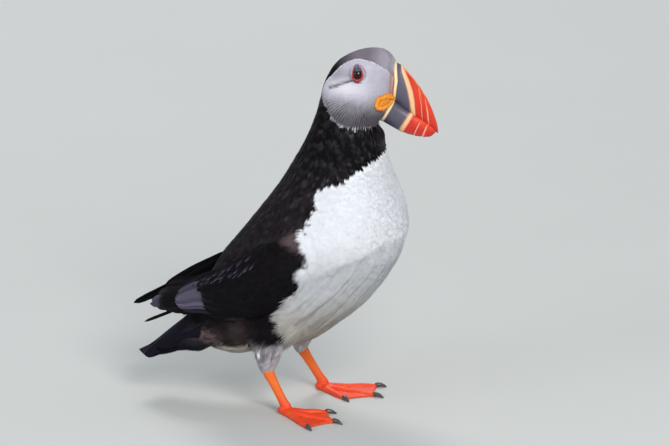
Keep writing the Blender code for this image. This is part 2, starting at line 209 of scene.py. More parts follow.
class PuffinBare(bpy.types.PropertyGroup):
    """Colours of the bill, the eyes and the feet"""

    red: colour_setting("Red", "Outer plates of the bill", (0.61, 0.022, 0.008))
    tip: colour_setting("Tip", "Worn tip of the bill", (0.42, 0.02, 0.012))
    cream: colour_setting("Cream", "Ridge at the root of the bill", (0.90, 0.72, 0.42))
    peach: colour_setting("Peach", "Ridge in front of the slate plate", (0.93, 0.50, 0.27))
    slate: colour_setting("Slate", "Plate at the root of the bill", (0.095, 0.088, 0.125))
    rosette: colour_setting("Rosette", "Skin at the corner of the mouth", (0.90, 0.36, 0.015))
    eye_ring: colour_setting("Eye ring", "Skin round the eye", (0.50, 0.02, 0.02))
    foot: colour_setting("Foot", "Web and toes", (0.86, 0.055, 0.006))
    shank: colour_setting("Shank", "Bare lower leg", (0.87, 0.15, 0.008))
    claw: colour_setting("Claw", "Claws", (0.035, 0.03, 0.035))


class PuffinSizes(bpy.types.PropertyGroup):
    """Sizes of what the puffin is drawn with"""

    skin_grain: length_setting("Skin grain", "Grid that the skin is drawn on", 1.1)
    coat_depth: length_setting("Coat depth", "Depth of the body feathers", 1.9)
    foot_grain: length_setting("Foot grain", "Grid that the feet are drawn on", 0.38)
    scute_length: length_setting("Scute length", "Length of a scale on shank and toes", 1.45)
    seed: IntProperty(name="Seed", description="Seed of the feathers' scatter", default=7)


class PuffinSettings(bpy.types.PropertyGroup):
    """All the settings of the puffin"""

    plumage: PointerProperty(type=PuffinPlumage)
    bare: PointerProperty(type=PuffinBare)
    sizes: PointerProperty(type=PuffinSizes)


def settings():
    """The settings of the scene's puffin."""
    return bpy.context.scene.puffin


# ---------------------------------------------------------------- node helpers


class Socket:
    """An output of a node, on which arithmetic adds Math nodes."""

    def __init__(self, net, link):
        self.net = net
        self.link = link

    def math(self, operation, *others, swap=False):
        terms = (self, *others)[:: -1 if swap else 1]
        return self.net.add("ShaderNodeMath", dict(enumerate(terms)), operation=operation)[0]

    __add__ = __radd__ = partialmethod(math, "ADD")
    __mul__ = __rmul__ = partialmethod(math, "MULTIPLY")
    __sub__ = partialmethod(math, "SUBTRACT")
    __rsub__ = partialmethod(math, "SUBTRACT", swap=True)
    __truediv__ = partialmethod(math, "DIVIDE")
    __rtruediv__ = partialmethod(math, "DIVIDE", swap=True)
    __pow__ = partialmethod(math, "POWER")
    __lt__ = partialmethod(math, "LESS_THAN")


class Outputs:
    """A node's outputs, by place or by name."""

    def __init__(self, net, node):
        self.net = net
        self.node = node

    def __getitem__(self, key):
        return Socket(self.net, pick(self.node.outputs, key))


def pick(sockets, key):
    """The socket of that place, identifier or name, preferring one that is in use."""
    if isinstance(key, int):
        return sockets[key]
    named = [s for s in sockets if s.identifier == key] + [s for s in sockets if s.name == key]
    live = [s for s in named if s.enabled]
    return (live or named)[0]


class Net:
    """Builds a node tree, one call to a node."""

    def __init__(self, tree):
        self.tree = tree

    def add(self, kind, values=None, **wanted):
        """A new node: values go to its inputs, and what is wanted to its own settings."""
        node = self.tree.nodes.new(kind)
        for name, value in wanted.items():
            setattr(node, name, value)
        self.fill(node, values or {})
        return Outputs(self, node)

    def fill(self, node, values):
        for key, value in values.items():
            socket = pick(node.inputs, key)
            if isinstance(value, Socket):
                self.tree.links.new(value.link, socket)
            else:
                socket.default_value = value

    def bands(self, value, stops):
        """Colours along a value, each stop being (place, colour)."""
        made = self.add("ShaderNodeValToRGB", {0: value})
        elements = made.node.color_ramp.elements
        while len(elements) < len(stops):
            elements.new(1)
        for element, (place, colour) in zip(elements, stops):
            element.position = place
            element.color = rgba(colour)
        return made["Color"]

    def attribute(self, name, output="Fac"):
        return self.add("ShaderNodeAttribute", attribute_name=name)[output]

    def named(self, name, kind="FLOAT"):
        return self.add("GeometryNodeInputNamedAttribute", {"Name": name}, data_type=kind)[0]

    def store(self, geometry, name, value, kind="FLOAT", domain="POINT"):
        values = {"Geometry": geometry, "Name": name, "Value": value}
        wanted = {"data_type": kind, "domain": domain}
        return self.add("GeometryNodeStoreNamedAttribute", values, **wanted)[0]

    def vector(self, operation, *terms, scale=None):
        values = dict(enumerate(terms))
        if scale is not None:
            values["Scale"] = scale
        return self.add("ShaderNodeVectorMath", values, operation=operation)[0]

    def scaled(self, colour, scale):
        return self.vector("SCALE", colour, scale=scale)

    def split(self, vector):
        parts = self.add("ShaderNodeSeparateXYZ", {0: vector})
        return parts[0], parts[1], parts[2]

    def join(self, x, y, z):
        return self.add("ShaderNodeCombineXYZ", {0: x, 1: y, 2: z})[0]

    def blend(self, share, first, second):
        """Colours mixed by a share; plain colours are given by three numbers."""
        colours = (c if isinstance(c, Socket) else rgba(c) for c in (first, second))
        values = dict(zip(("Factor_Float", "A_Color", "B_Color"), (share, *colours)))
        return self.add("ShaderNodeMix", values, data_type="RGBA")["Result_Color"]

    def ramp(self, value, low, high):
        """An even slope from 0 at low to 1 at high."""
        values = {"Value": value, "From Min": low, "From Max": high}
        return self.add("ShaderNodeMapRange", values, interpolation_type="SMOOTHSTEP")[0]

    def notch(self, value, line, near, far):
        """1 where a value is as near to a line as near, and 0 beyond far."""
        return 1 - self.ramp((value - line).math("ABSOLUTE"), near, far)

    def noise(self, place, scale, detail=2.0, roughness=0.5):
        values = {"Vector": place, "Scale": scale, "Detail": detail, "Roughness": roughness}
        return self.add("ShaderNodeTexNoise", values)["Fac"]

    def bump(self, height, strength, distance):
        values = {"Height": height, "Strength": strength, "Distance": distance}
        return self.add("ShaderNodeBump", values)[0]

    def object_place(self):
        return self.add("ShaderNodeTexCoord")["Object"]


class Finish(Net):
    """A material's node tree."""

    def __init__(self, name):
        self.material = bpy.data.materials.new(name)
        self.material.use_nodes = True
        super().__init__(self.material.node_tree)

    def shade(self, **values):
        """Fills the shader's inputs, their spaces written as underscores."""
        shader = self.tree.nodes["Principled BSDF"]
        self.fill(shader, {key.replace("_", " "): value for key, value in values.items()})
        return self.material


def once(store, name):
    """Makes a named data block on the first call and hands it out after that."""

    def wrap(make):
        @wraps(make)
        def ready(*kind):
            full_name = name.format(*kind)
            return getattr(bpy.data, store).get(full_name) or make(full_name, *kind)

        return ready

    return wrap


def rgba(colour):
    """The colour as an opaque one of four numbers."""
    return (*colour, 1.0)


# colour of pale streaks, and of the painted glints on black feathers
PALE_STREAK = (0.72, 0.71, 0.74)
WEAR_AND_SHEEN_TINT = (0.045, 0.036, 0.040)  # what the worn edge, partly painted sheen, adds to a feather's colour


@once("materials", "plumage")
def plumage_finish(name):
    """Feather colour from the piece's own attributes, with barbs, streaks, and worn edges and
    lighter feathers that are partly wear and partly painted sheen.
    """
    net = Finish(name)
    across, along, further = net.split(net.attribute("vane", "Vector"))
    chance = net.attribute("chance")
    ground = net.attribute("plumage", "Color")
    side = across.math("ABSOLUTE")
    place = net.object_place()
    slant = ((along + further) * 2.2 - side * 0.8) * 34.0
    slant = slant + chance * 40.0 + net.noise(place, 700.0) * 5.0
    barbs = slant.math("SINE") * 0.5 + 0.5
    worn = net.attribute("worn")
    shade = 0.91 + barbs * 0.06 + chance * 0.05 + net.noise(place, 55.0) * 0.07
    # lighter and darker feathers: partly wear, partly painted sheen on the black plumage
    shade = shade + worn * (chance - 0.3) * 2.6
    streak = net.attribute("streak").math("SINE") + (chance - 0.5) * 0.7
    dark = net.ramp(streak, 0.1, 0.7) * net.attribute("dark_share")
    pale = net.ramp(streak, -0.1, -0.7) * net.attribute("pale_share")
    ground = net.blend(dark, ground, net.scaled(ground, 0.16))
    ground = net.blend(pale, ground, PALE_STREAK)
    shaded = net.scaled(ground, shade)
    worn = worn * net.ramp(chance, 0.45, 0.85)
    edge = net.ramp(side.math("MAXIMUM", along * 1.06), 0.78, 1.0) * worn
    wear_and_sheen_colour = net.vector("ADD", net.scaled(ground, 1.6), WEAR_AND_SHEEN_TINT)
    return net.shade(
        Specular_IOR_Level=0.06,
        Base_Color=net.blend(edge, shaded, wear_and_sheen_colour),
        Roughness=0.58 + barbs * 0.10,
        Normal=net.bump(barbs, 0.22, 0.00004),
    )


# ---------------------------------------------------------------- mesh helpers


def show(name, data, material=None):
    """Puts a mesh, a lamp or a camera in the scene as an object at the origin."""
    made = bpy.data.objects.new(name, data)
    bpy.context.scene.collection.objects.link(made)
    if material:
        data.materials.clear()
        data.materials.append(material)
    return made


def dress(piece, slot, *nodes):
    """Says what a finished piece rides on and stands for; the slot is not used."""
    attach(piece, "root")
    if nodes:
        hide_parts(*nodes)


def mesh_from(name, points, faces):
    """A smooth mesh of the points in metres and the faces between them."""
    mesh = bpy.data.meshes.new(name)
    mesh.from_pydata([tuple(p) for p in points], [], faces)
    mesh.validate()
    mesh.shade_smooth()
    return mesh


def mesh_of(bm, name="joined"):
    """A new mesh of what is in the bmesh, which is freed."""
    mesh = bpy.data.meshes.new(name)
    bm.to_mesh(mesh)
    bm.free()
    return mesh


@contextmanager
def edited(mesh):
    """The mesh as a bmesh, which is written back at the end."""
    bm = bmesh.new()
    bm.from_mesh(mesh)
    yield bm
    bm.to_mesh(mesh)
    bm.free()


def outward(mesh, crease=None):
    """Turns every face of a closed mesh outwards, and keeps edges over the crease sharp."""
    with edited(mesh) as bm:
        bmesh.ops.recalc_face_normals(bm, faces=bm.faces)
        if crease:
            for edge in bm.edges:
                edge.smooth = edge.calc_face_angle(0) < crease
    mesh.shade_smooth()
    return mesh


def write_attribute(mesh, name, kind, values, domain="POINT"):
    """Stores one value for each point or face of the mesh."""
    field = {"FLOAT_VECTOR": "vector", "FLOAT_COLOR": "color"}.get(kind, "value")
    flat = np.ascontiguousarray(values, np.int32 if kind == "INT" else np.float32).ravel()
    mesh.attributes.new(name, kind, domain).data.foreach_set(field, flat)


def read_rows(elements, field, width, kind=float):
    """One field of all the elements, as rows of numbers."""
    flat = np.empty(len(elements) * width, kind)
    elements.foreach_get(field, flat)
    return flat.reshape(-1, width)


def read_points(mesh):
    return read_rows(mesh.vertices, "co", 3)


def read_normals(mesh):
    return read_rows(mesh.vertex_normals, "vector", 3)


def read_edges(mesh):
    return read_rows(mesh.edges, "vertices", 2, int)


def write_points(mesh, points):
    mesh.vertices.foreach_set("co", np.ascontiguousarray(points).ravel())
    mesh.update()


def neighbour_mean(edges, count):
    """A function that gives each of count points the mean of its neighbours' values."""
    both = np.vstack([edges, edges[:, ::-1]])
    degree = np.maximum(np.bincount(both[:, 0], minlength=count), 1)
    return lambda values: np.bincount(both[:, 0], values[both[:, 1]], count) / degree


def relax(mesh, rounds):
    """Evens out a mesh; each step inwards is followed by one outwards, so it keeps its size."""
    points = read_points(mesh)
    mean = neighbour_mean(read_edges(mesh), len(points))
    for _ in range(rounds):
        for share in (0.5, -0.52):
            near = np.stack([mean(column) for column in points.T], axis=1)
            points = points + share * (near - points)
    write_points(mesh, points)


def joined_mesh(meshes):
    """One mesh of several, which are dropped."""
    bm = bmesh.new()
    for mesh in meshes:
        bm.from_mesh(mesh)
        bpy.data.meshes.remove(mesh)
    return mesh_of(bm)


def swollen_copies(nodes, swell, keep=None):
    """One mesh of the nodes' solids, each grown a little so that they meet."""
    parts = []
    for node in nodes:
        bm = bmesh.new()
        bm.from_mesh(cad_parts[node].data)
        bmesh.ops.remove_doubles(bm, verts=bm.verts, dist=1e-6)
        bm.normal_update()
        moved = [v.co + v.normal * swell * min(v.calc_shell_factor(), 2) for v in bm.verts]
        for vertex, place in zip(bm.verts, moved):
            vertex.co = place
        if keep and node in keep:
            cut_off(bm, *keep[node])
        parts.append(mesh_of(bm))
    return joined_mesh(parts)


def cut_off(bm, point, direction):
    """Keeps the side of a closed mesh that lies in the direction, and closes it."""
    geometry = bm.verts[:] + bm.edges[:] + bm.faces[:]
    cut = bmesh.ops.bisect_plane(
        bm, geom=geometry, plane_co=point, plane_no=direction, clear_inner=True
    )
    rim = [e for e in cut["geom_cut"] if isinstance(e, bmesh.types.BMEdge)]
    bmesh.ops.edgeloop_fill(bm, edges=rim)


def redrawn(mesh, grain):
    """One even closed skin round everything in the mesh."""
    maker = show("redrawn", mesh)
    modifier = maker.modifiers.new("skin", "REMESH")
    modifier.mode = "VOXEL"
    modifier.voxel_size = grain
    made = plain_mesh(maker)
    bpy.data.objects.remove(maker)
    return made


def plain_mesh(maker):
    """The evaluated mesh of an object, on its own."""
    graph = bpy.context.evaluated_depsgraph_get()
    graph.update()
    return bpy.data.meshes.new_from_object(maker.evaluated_get(graph), depsgraph=graph)


def ring_faces(count, around, closed=False):
    """Four-sided faces between rings of points, and from the last to the first if closed."""
    faces = []
    for i in range(count if closed else count - 1):
        low, high = i * around, (i + 1) % count * around
        for k in range(around):
            n = (k + 1) % around
            faces.append((low + k, low + n, high + n, high + k))
    return faces


def rings_to_mesh(name, rings):
    """A closed mesh through rings of points, with both ends filled."""
    count, around = rings.shape[:2]
    ends = range(around), range((count - 1) * around, count * around)
    faces = [*ring_faces(count, around), tuple(ends[0])[::-1], tuple(ends[1])]
    return outward(mesh_from(name, rings.reshape(-1, 3), faces))


# ---------------------------------------------------------------- skin and markings

# Lines across the flesh in the side view, each from its back end to its belly end, in
# order from tail to bill. Feathers lie along the line through their middles.
FLOW = (
    ((-97, 30), (-96, 24)),
    ((-66, 51), (-60, 38)),
    ((-60, 68), (-47, 33)),
    ((-52, 84), (-30, 32)),
    ((-40, 101), (-8, 35)),
    ((-27, 118), (17, 45)),
    ((-13, 137), (45, 66)),
    ((-4, 152), (62, 92)),
    ((3, 165), (66, 120)),
    ((8, 177), (58, 142)),
    ((12, 188), (53, 158)),
    ((14, 199), (52, 168)),
    ((20, 211), (48, 174)),
    ((30, 219), (47, 175)),
    ((40, 223), (48, 176)),
    ((51, 222), (50, 178)),
    ((60, 209), (57, 189)),
)

# The pale face and the white underside in the side view.
FACE_OUTLINE = through(
    [
        (58, 206), (55, 210.2), (52.1, 212.9), (48.4, 215.3), (44.6, 217.4), (40.8, 218.6),
        (37, 219), (33.2, 218.3), (29.4, 216.5), (25.7, 213.5), (21.9, 209.9), (18, 205.6),
        (15, 202.5), (12.5, 199), (12.5, 195.5), (14.8, 192.3), (17.1, 189.3), (20, 186),
        (24, 182.4), (28.2, 180.5), (32.7, 179.5), (36.8, 179.3), (41, 178.8), (46, 177),
        (53, 174), (60, 180), (60, 195), (58, 206),
    ],
    100,
)[:-1]  # fmt: skip
WHITE_OUTLINE = through(
    [
        (57, 163), (48.6, 160), (40.6, 157.5), (35.3, 155), (25.7, 151), (15.2, 146),
        (16.8, 137), (14.5, 128.6), (14.5, 120), (17, 112), (19.5, 106), (15, 98), (8.5, 92),
        (8.5, 85), (6, 78), (2.5, 68), (3, 60), (6, 53), (4, 46), (-8, 41.5), (-24, 38.5),
        (-36, 37), (-43, 33), (-40, 24), (0, 20), (60, 40), (90, 100), (80, 160), (57, 163),
    ],
    160,
)[:-1]  # fmt: skip

EYE_CREASE = ((33.0, 206.2), (30, 205.0), (27, 203.8), (23.6, 202.6), (20.4, 201.7))
EYE_OPENING = (
    (34.2, 211.7), (33.8, 209.6), (34.6, 207.9), (36.2, 207.2), (37.8, 207.9),
    (38.6, 209.8), (38.2, 211.7), (36.2, 212.1),
)  # fmt: skip
CHEEK_POLE = (44.0, 204.5)  # where the lines of the cheek fan out from
BILL_ROOT = (60.0, 200.0)
BELLY_CREASE = ((18, 88), (28, 92.5), (39, 96.8), (49, 100.5), (58, 107))
SCAPULAR_EDGE = ((-50, 89), (-38, 93.5), (-24, 97), (-10, 105), (3, 112), (9, 118))

REGIONS = (
    "bare", "face", "crown", "collar", "breast_right", "breast_left", "belly_right",
    "belly_left", "mantle", "wing", "vent", "thigh", "fringe",
)  # fmt: skip

# Rows of FLOW, counted from the tail, at which parts of the body begin.
COLLAR_ROW, NECK_ROW, HEAD_ROW, CROWN_ROW = 8.4, 9.5, 10.6, 12
# Millimetres in the side view, and FLANK from the middle outwards.
NECK_TURN = (118, 160)  # heights over which the turn of the head sets in
BELLY_TOP, THIGH_TOP, FLANK = 88, 44, 28
MOUTH_ROOT = 191.5
TUFT = (8, 115)  # the loose feathers where the wing meets the breast
FAR = 99.0  # further than any marking is from its edge
LENGTH_BY_ROW = ((0, 2, 4, 7, 8.5, 10, 11, 12.5, 16), (12, 12, 11.5, 9.5, 8, 6, 4.6, 3.4, 2.4))

THIGH_GREY = (0.44, 0.42, 0.455)
BILL_ROOT_SKIN = (0.74, 0.30, 0.17)
# painted shade for the skin that dips behind the eyeball in the eye opening
EYE_SOCKET_SHADE = (0.012, 0.006, 0.006)


def flow_at(side_view):
    """How far along the body each side-view point is, and the way to the tail."""
    ends = np.array(FLOW, float)
    middle = ends.mean(axis=1)
    across = ends[:, 0] - ends[:, 1]
    ahead = np.stack([across[:, 1], -across[:, 0]], axis=1)
    ahead /= np.linalg.norm(ahead, axis=1, keepdims=True)
    reach = ((side_view[:, None, :] - middle) * ahead).sum(-1)
    last = np.clip((reach > 0).cumprod(axis=1).sum(axis=1) - 1, 0, len(middle) - 2)
    rows = np.arange(len(side_view))
    here, beyond = reach[rows, last], reach[rows, last + 1]
    share = np.clip(here / np.where(here == beyond, 1, here - beyond), 0, 1)
    step = np.gradient(middle, axis=0)
    step /= np.linalg.norm(step, axis=1, keepdims=True)
    place = last + share
    index = np.arange(len(middle))
    towards = np.stack([np.interp(place, index, -step[:, k]) for k in range(2)], axis=1)
    return place, towards / np.linalg.norm(towards, axis=1, keepdims=True)


def nearest_node(points):
    """The flesh node whose surface is nearest to each point."""
    places, faces, owner = [], [], []
    for index, node in enumerate(FLESH):
        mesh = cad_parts[node].data
        start = len(places)
        places += [v.co.copy() for v in mesh.vertices]
        faces += [[start + k for k in polygon.vertices] for polygon in mesh.polygons]
        owner += [index] * len(mesh.polygons)
    tree = BVHTree.FromPolygons(places, faces)
    found = [tree.find_nearest(Vector(p))[2] for p in points]
    return np.array(owner)[found]


def is_node(owner, *names):
    return np.isin(owner, [FLESH.index(name) for name in names])


def mixed(first, second, share):
    """Rows of first, each moved towards second by its share."""
    return first + (np.asarray(second, float) - first) * share[:, None]


def rows_of(row, count):
    """The same row over and over."""
    return np.tile(np.asarray(row, float), (count, 1))


def above_line(side_view, line):
    """How far points are above a line drawn from left to right."""
    x, z = np.array(sorted(line), float).T
    return side_view[:, 1] - np.interp(side_view[:, 0], x, z)


def line_ahead(line, up):
    """How far ahead a line drawn from top to bottom is at each height."""
    ahead, height = np.array(line)[::-1].T
    return np.interp(up, height, ahead)


class Map:
    """What is known of each point of the skin before feathers grow.

    side is the side view with the head turned straight, as (ahead, up); left and
    aside say how far a point is to the left and from the middle.
    """

    def __init__(self, points):
        self.body = body_places(points)
        turned = smooth(*NECK_TURN, self.body[:, 2])
        straight = mixed(self.body, head_places(points), turned)
        self.side = straight[:, [0, 2]]
        self.left = straight[:, 1]
        self.aside = np.abs(self.left)
        self.owner = nearest_node(points)
        self.flow, self.towards = flow_at(self.side)
        self.on_wing = is_node(self.owner, "wing_right", "wing_left")
        self.on_thigh = is_node(self.owner, "thigh_right", "thigh_left")
        self.on_tail = is_node(self.owner, "tail")
        self.face = self.face_depth()
        ragged = 0.9 * ripple(self.left * 0.5 + self.side[:, 1] * 0.8, 3)
        self.white = depth_inside(self.side, WHITE_OUTLINE) + ragged
        self.white[self.on_wing | self.on_tail] = -FAR
        self.eye = np.where(self.aside > 7, -depth_inside(self.side, EYE_OPENING), FAR)
        self.crease = line_distance(self.side, EYE_CREASE)
        self.fold = line_distance(self.side, BELLY_CREASE)

    def face_depth(self):
        """How far inside the pale face each point is; it stays clear of nape and chin, and reaches
        over the brow on the far side only, partly the far face's edge and partly painted rim light.
        """
        x, z = self.side.T
        nape, chin = self.aside - 3.0, self.aside - 5.0
        face = depth_inside(self.side, FACE_OUTLINE)
        # partly painted rim light: the pale face over the far brow
        over_brow = self.left - 4.2 - 0.6 * np.maximum(0, 51 - x)  # on the far side only
        over_brow = np.minimum.reduce([over_brow, 57.5 - x, z - 208])
        face = np.maximum(face, over_brow)
        face = np.where(x < 27, np.minimum(face, nape), face)
        face = np.where((z < 182) & (x > 34), np.minimum(face, chin), face)
        face[is_node(self.owner, "trunk", "tail")] = -FAR
        return face

    def regions(self):
        """Which coat grows on each point; what comes later lies over what came before."""
        x, z = self.side.T
        right, white = self.left < 0, self.white > -1.6
        region = np.full(len(x), REGIONS.index("mantle"))
        for name, where in (
            ("collar", (z > 140) & (self.flow > COLLAR_ROW)),
            ("vent", (x < 6) & (z < 66) & ~self.on_wing),
            ("breast_right", white & right & (z > BELLY_TOP)),
            ("breast_left", white & ~right & (z > BELLY_TOP)),
            ("belly_right", white & right & (z <= BELLY_TOP)),
            ("belly_left", white & ~right & (z <= BELLY_TOP)),
            ("fringe", self.fringe() > 0.5),
            ("crown", self.flow > HEAD_ROW),
            ("face", self.face > 0),
            ("wing", self.on_wing),
            ("thigh", self.on_thigh & (z < THIGH_TOP + 2)),
            ("bare", self.hidden()),
        ):
            region[where] = REGIONS.index(name)
        return region

    def fringe(self):
        """1 on the long loose feathers that hang over the edge of wing and flank."""
        x, z = self.side.T
        reach = fade(2.6, 3.8, self.white) * (self.white > 0)
        tuft = np.hypot((x - TUFT[0]) / 5.5, (z - TUFT[1]) / 5.0) < 1
        tuft &= (self.aside > FLANK) & (self.white < 0)
        return np.where(tuft, 1.0, reach * (x < 24) * (x > -12) * (z < 120))

    def behind_bill(self):
        """How far points are behind the rear edge of the bill."""
        x, z = self.side.T
        upper, lower = (line_ahead(plates[0], z) for plates in (UPPER_PLATES, LOWER_PLATES))
        return np.where(z > MOUTH_ROOT, upper, lower) - x

    def hidden(self):
        """Where no feather grows: eyelids, gape and the part under the bill."""
        x, z = self.side.T
        bill = (self.behind_bill() < -1.3) & (z > 172) & (z < 212.4) & (x > 44)
        gape = depth_inside(self.side, GAPE_RING) > 0.3
        plates = depth_inside(self.side, UPPER_EYE_PLATE) > -0.2
        return bill | (self.eye < 0.95) | ((gape | plates) & (self.aside > 2))

    def cheek_lines(self):
        """Where the cheek is parted into thin lines, which fan out from the gape."""
        x, z = self.side.T
        away = np.hypot(x - CHEEK_POLE[0], z - CHEEK_POLE[1])
        patchy = 0.65 + 0.35 * ripple(x * 0.22 - z * 0.31, 21)
        low = smooth(6, 17, away) * fade(192, 200.5, z) * fade(40, 49, x)
        return low * patchy * smooth(0.6, 2.6, self.face)

    def streaks(self):
        """The phase of thin streaks: they fan over the cheek and hang down elsewhere."""
        x, z = self.side.T
        ahead, up = x - CHEEK_POLE[0], z - CHEEK_POLE[1]
        angle, away = np.arctan2(up, ahead), np.hypot(ahead, up)
        fan = angle * 112 + 1.6 * np.sin(away * 0.45 + angle * 6)
        hanging = (x + self.left * 0.9) * 2.1 + 1.5 * np.sin(z * 0.3 + x)
        sloping = (x * 0.75 - z * 0.55 + self.left * 0.5) * 1.7
        sloping = sloping + 1.3 * np.sin(z * 0.21 + x * 0.1)
        hanging = np.where(self.white > 0, sloping, hanging)
        return np.where(self.face > -1, fan, hanging)

    def flecks(self):
        """How strongly the streaks darken and lighten the marking; the pale flecks on black
        feathers are painted glints, and the dark wisps low on the belly are painted shade between
        its tufts.
        """
        x, z = self.side.T
        low = fade(184, 203, z) * (self.face > 0)
        dark = self.cheek_lines() * (0.60 + 0.38 * low)
        thigh = self.on_thigh & (z < THIGH_TOP)
        dark = np.where(thigh, 0.75, dark)
        pale = np.where(thigh, 0.80, 0.0)
        off_quills = ~self.on_wing & ~self.on_tail
        vent = (self.white < 0) & (x < -28) & (z < 38) & off_quills
        pale = np.where(vent, 0.35, pale)
        clumps = 0.5 + 0.5 * ripple(x * 0.65 + z * 0.31 + self.left * 0.4, 31)
        clumps *= 0.6 + 0.4 * ripple(z * 0.74 - x * 0.22 + self.left * 0.2, 32)
        black = (self.white < 0) & (self.face < 0) & (self.flow < CROWN_ROW)
        # painted glints on the black collar and mantle
        painted_glints = (0.04 + 0.035 * smooth(125, 150, z)) * clumps
        pale = np.where(black & off_quills & ~thigh & (z > 66), painted_glints, pale)
        # painted shade between the tufts low on the belly
        wisps = (self.white > 0.5) * fade(84, 112, z)
        dark = np.where(self.white > 0, 0.20 * clumps * wisps, dark)
        return dark, pale

    def colours(self):
        """The markings, one colour to each point."""
        ink = settings().plumage
        x, z = self.side.T
        colour = rows_of(ink.black, len(x))
        upper = smooth(60, 95, z) * fade(140, 168, z) * (self.flow < 9) * ~self.on_wing
        colour = mixed(colour, ink.mantle, upper)
        grey = smooth(12.2, 13.8, self.flow) * smooth(198, 214, z)
        colour = mixed(colour, ink.crown, grey)
        colour = mixed(colour, ink.brow, smooth(43, 57, x) * smooth(203, 212, z))
        throat = smooth(48, 56, x) * fade(168, 182, z) * smooth(160, 168, z) * 0.5
        colour = mixed(colour, np.array(ink.crown) * 0.8, throat * (self.flow > NECK_ROW))
        colour = mixed(colour, ink.tail, self.on_tail.astype(float))
        brown = np.array(ink.brown)
        for middle, size, where, strength in (
            ((8.5, 115), (4.0, 4.4), self.aside > FLANK, 1.0),
            ((-47, 47), (8, 5), ~self.on_wing, 1.0),
            ((-26, 52), (8, 10), ~self.on_wing, 0.28),
        ):
            spot = patch(x, z, middle, size)
            colour = mixed(colour, brown * strength, 0.9 * spot * where)
        colour = mixed(colour, self.white_colours(ink), smooth(-0.02, 0.02, self.white))
        vent = smooth(-44, -36, x) * fade(-24, -18, x) * fade(38, THIGH_TOP, z)
        vent = vent * (self.white < 0) * ~self.on_thigh
        colour = mixed(colour, np.array(ink.cream) * 0.8, vent)
        thigh = mixed(rows_of(THIGH_GREY, len(x)), brown * 0.6, fade(24, 27, z))
        colour = mixed(colour, thigh, self.on_thigh * fade(42, 50, z))
        return mixed(colour, self.face_colours(ink), smooth(-0.02, 0.02, self.face))

    def white_colours(self, ink):
        """Breast and belly: creamier towards the legs, and darker towards the legs and in the belly
        fold as painted shade.
        """
        z = self.side[:, 1]
        warm = mixed(rows_of(ink.white, len(z)), ink.cream, fade(40, 95, z))
        # painted shade: darker in the fold across the belly and low towards the legs
        painted_shade = bell(self.fold, 5.0) * 0.08
        painted_shade += 0.29 * fade(94, 122, z) + 0.08 * fade(44, 84, z)
        return warm * (1 - painted_shade)[:, None]

    def face_colours(self, ink):
        """The pale face with a paler rim: a painted highlight under the crease behind the eye,
        painted shade over and in the crease, and dark low on the cheek, partly its own grey and
        partly painted shade.
        """
        x, z = self.side.T
        streak = np.array(ink.streak)
        root = bell(self.behind_bill() - 0.2, 0.6) * (z > 187) * (x > 50)
        rim = bell(np.maximum(self.face - 0.2, 0), 0.45) * (x < 56)
        rim *= 0.28 + 0.62 * smooth(188, 206, z)
        face = rows_of(ink.face, len(x))
        for colour, share in (
            # painted highlight under the crease behind the eye
            (ink.rim, 0.45 * patch(x, z, (31, 203), (13, 3.4))),
            # darker low on the cheek: partly the cheek's own grey, partly painted shade
            (streak * 0.75, 0.93 * fade(183, 201, z) ** 0.8),
            (streak, 0.36 * self.cheek_lines()),
            # painted shade behind the eye, over the crease
            (streak * 2.2, 0.60 * patch(x, z, (25, 209.5), (9, 4.0))),
            # painted shade in the crease
            (streak, 0.9 * bell(self.crease, 0.7)),
            (BILL_ROOT_SKIN, 0.75 * root),
            (ink.rim, rim),
            # painted shade where the skin dips into the eye opening
            (EYE_SOCKET_SHADE, fade(0.55, 0.95, self.eye)),
        ):
            face = mixed(face, colour, share)
        return face

    def lie(self):
        """Which way a feather points from its root."""
        x, z = self.side.T
        away = self.side - BILL_ROOT
        away /= np.linalg.norm(away, axis=1, keepdims=True)
        radial = self.side - CHEEK_POLE
        radial /= np.maximum(np.linalg.norm(radial, axis=1, keepdims=True), 1e-6)
        facing = mixed(away, radial, fade(36, 48, x) * fade(200, 206, z))
        on_face = smooth(-3, 1, self.face) * (self.flow > NECK_ROW)
        towards = mixed(self.towards, facing, on_face)
        for way, share in (
            (away, smooth(CROWN_ROW, 13.5, self.flow) * (1 - on_face)),
            ((-0.90, -0.43), self.on_wing.astype(float)),
            ((-0.86, -0.5), self.on_tail.astype(float)),
            ((-0.9, -0.43), 0.75 * self.fringe()),
            ((0.05, -1.0), self.on_thigh * fade(40, 50, z)),
        ):
            towards = mixed(towards, way, share)
        return np.stack([towards[:, 0], np.zeros(len(x)), towards[:, 1]], axis=1)

    def lengths(self):
        """How long a feather grows, in millimetres."""
        x, z = self.side.T
        length = np.interp(self.flow, *LENGTH_BY_ROW)
        length = np.where(self.white > -6, length * 0.65, length)
        white = np.interp(z, (30, 80, 120, 158), (13.0, 11.0, 8.5, 6.5))
        length = np.where(self.white > 0, white + 3.2 * self.fringe(), length)
        face = 2.3 + 0.9 * smooth(6, 22, np.hypot(x - 50, z - 205))
        face = np.minimum(face, 0.95 + 0.7 * self.face)
        length = np.where(self.face > 0, face, length)
        length = np.where(self.on_wing, np.interp(x, (-60, -30, 10), (12, 10, 7)), length)
        thigh = np.interp(z, (23, 30, 44), (5.0, 8, 10.5))
        length = np.where(self.on_thigh & (z < THIGH_TOP), thigh, length)
        lids = 0.7 + 0.55 * np.maximum(self.eye - 0.9, 0)
        root = np.where((x > 52) & (z > 176), 1.0 + 0.5 * np.maximum(57.5 - x, 0), FAR)
        return np.minimum(length, np.minimum(lids, root))

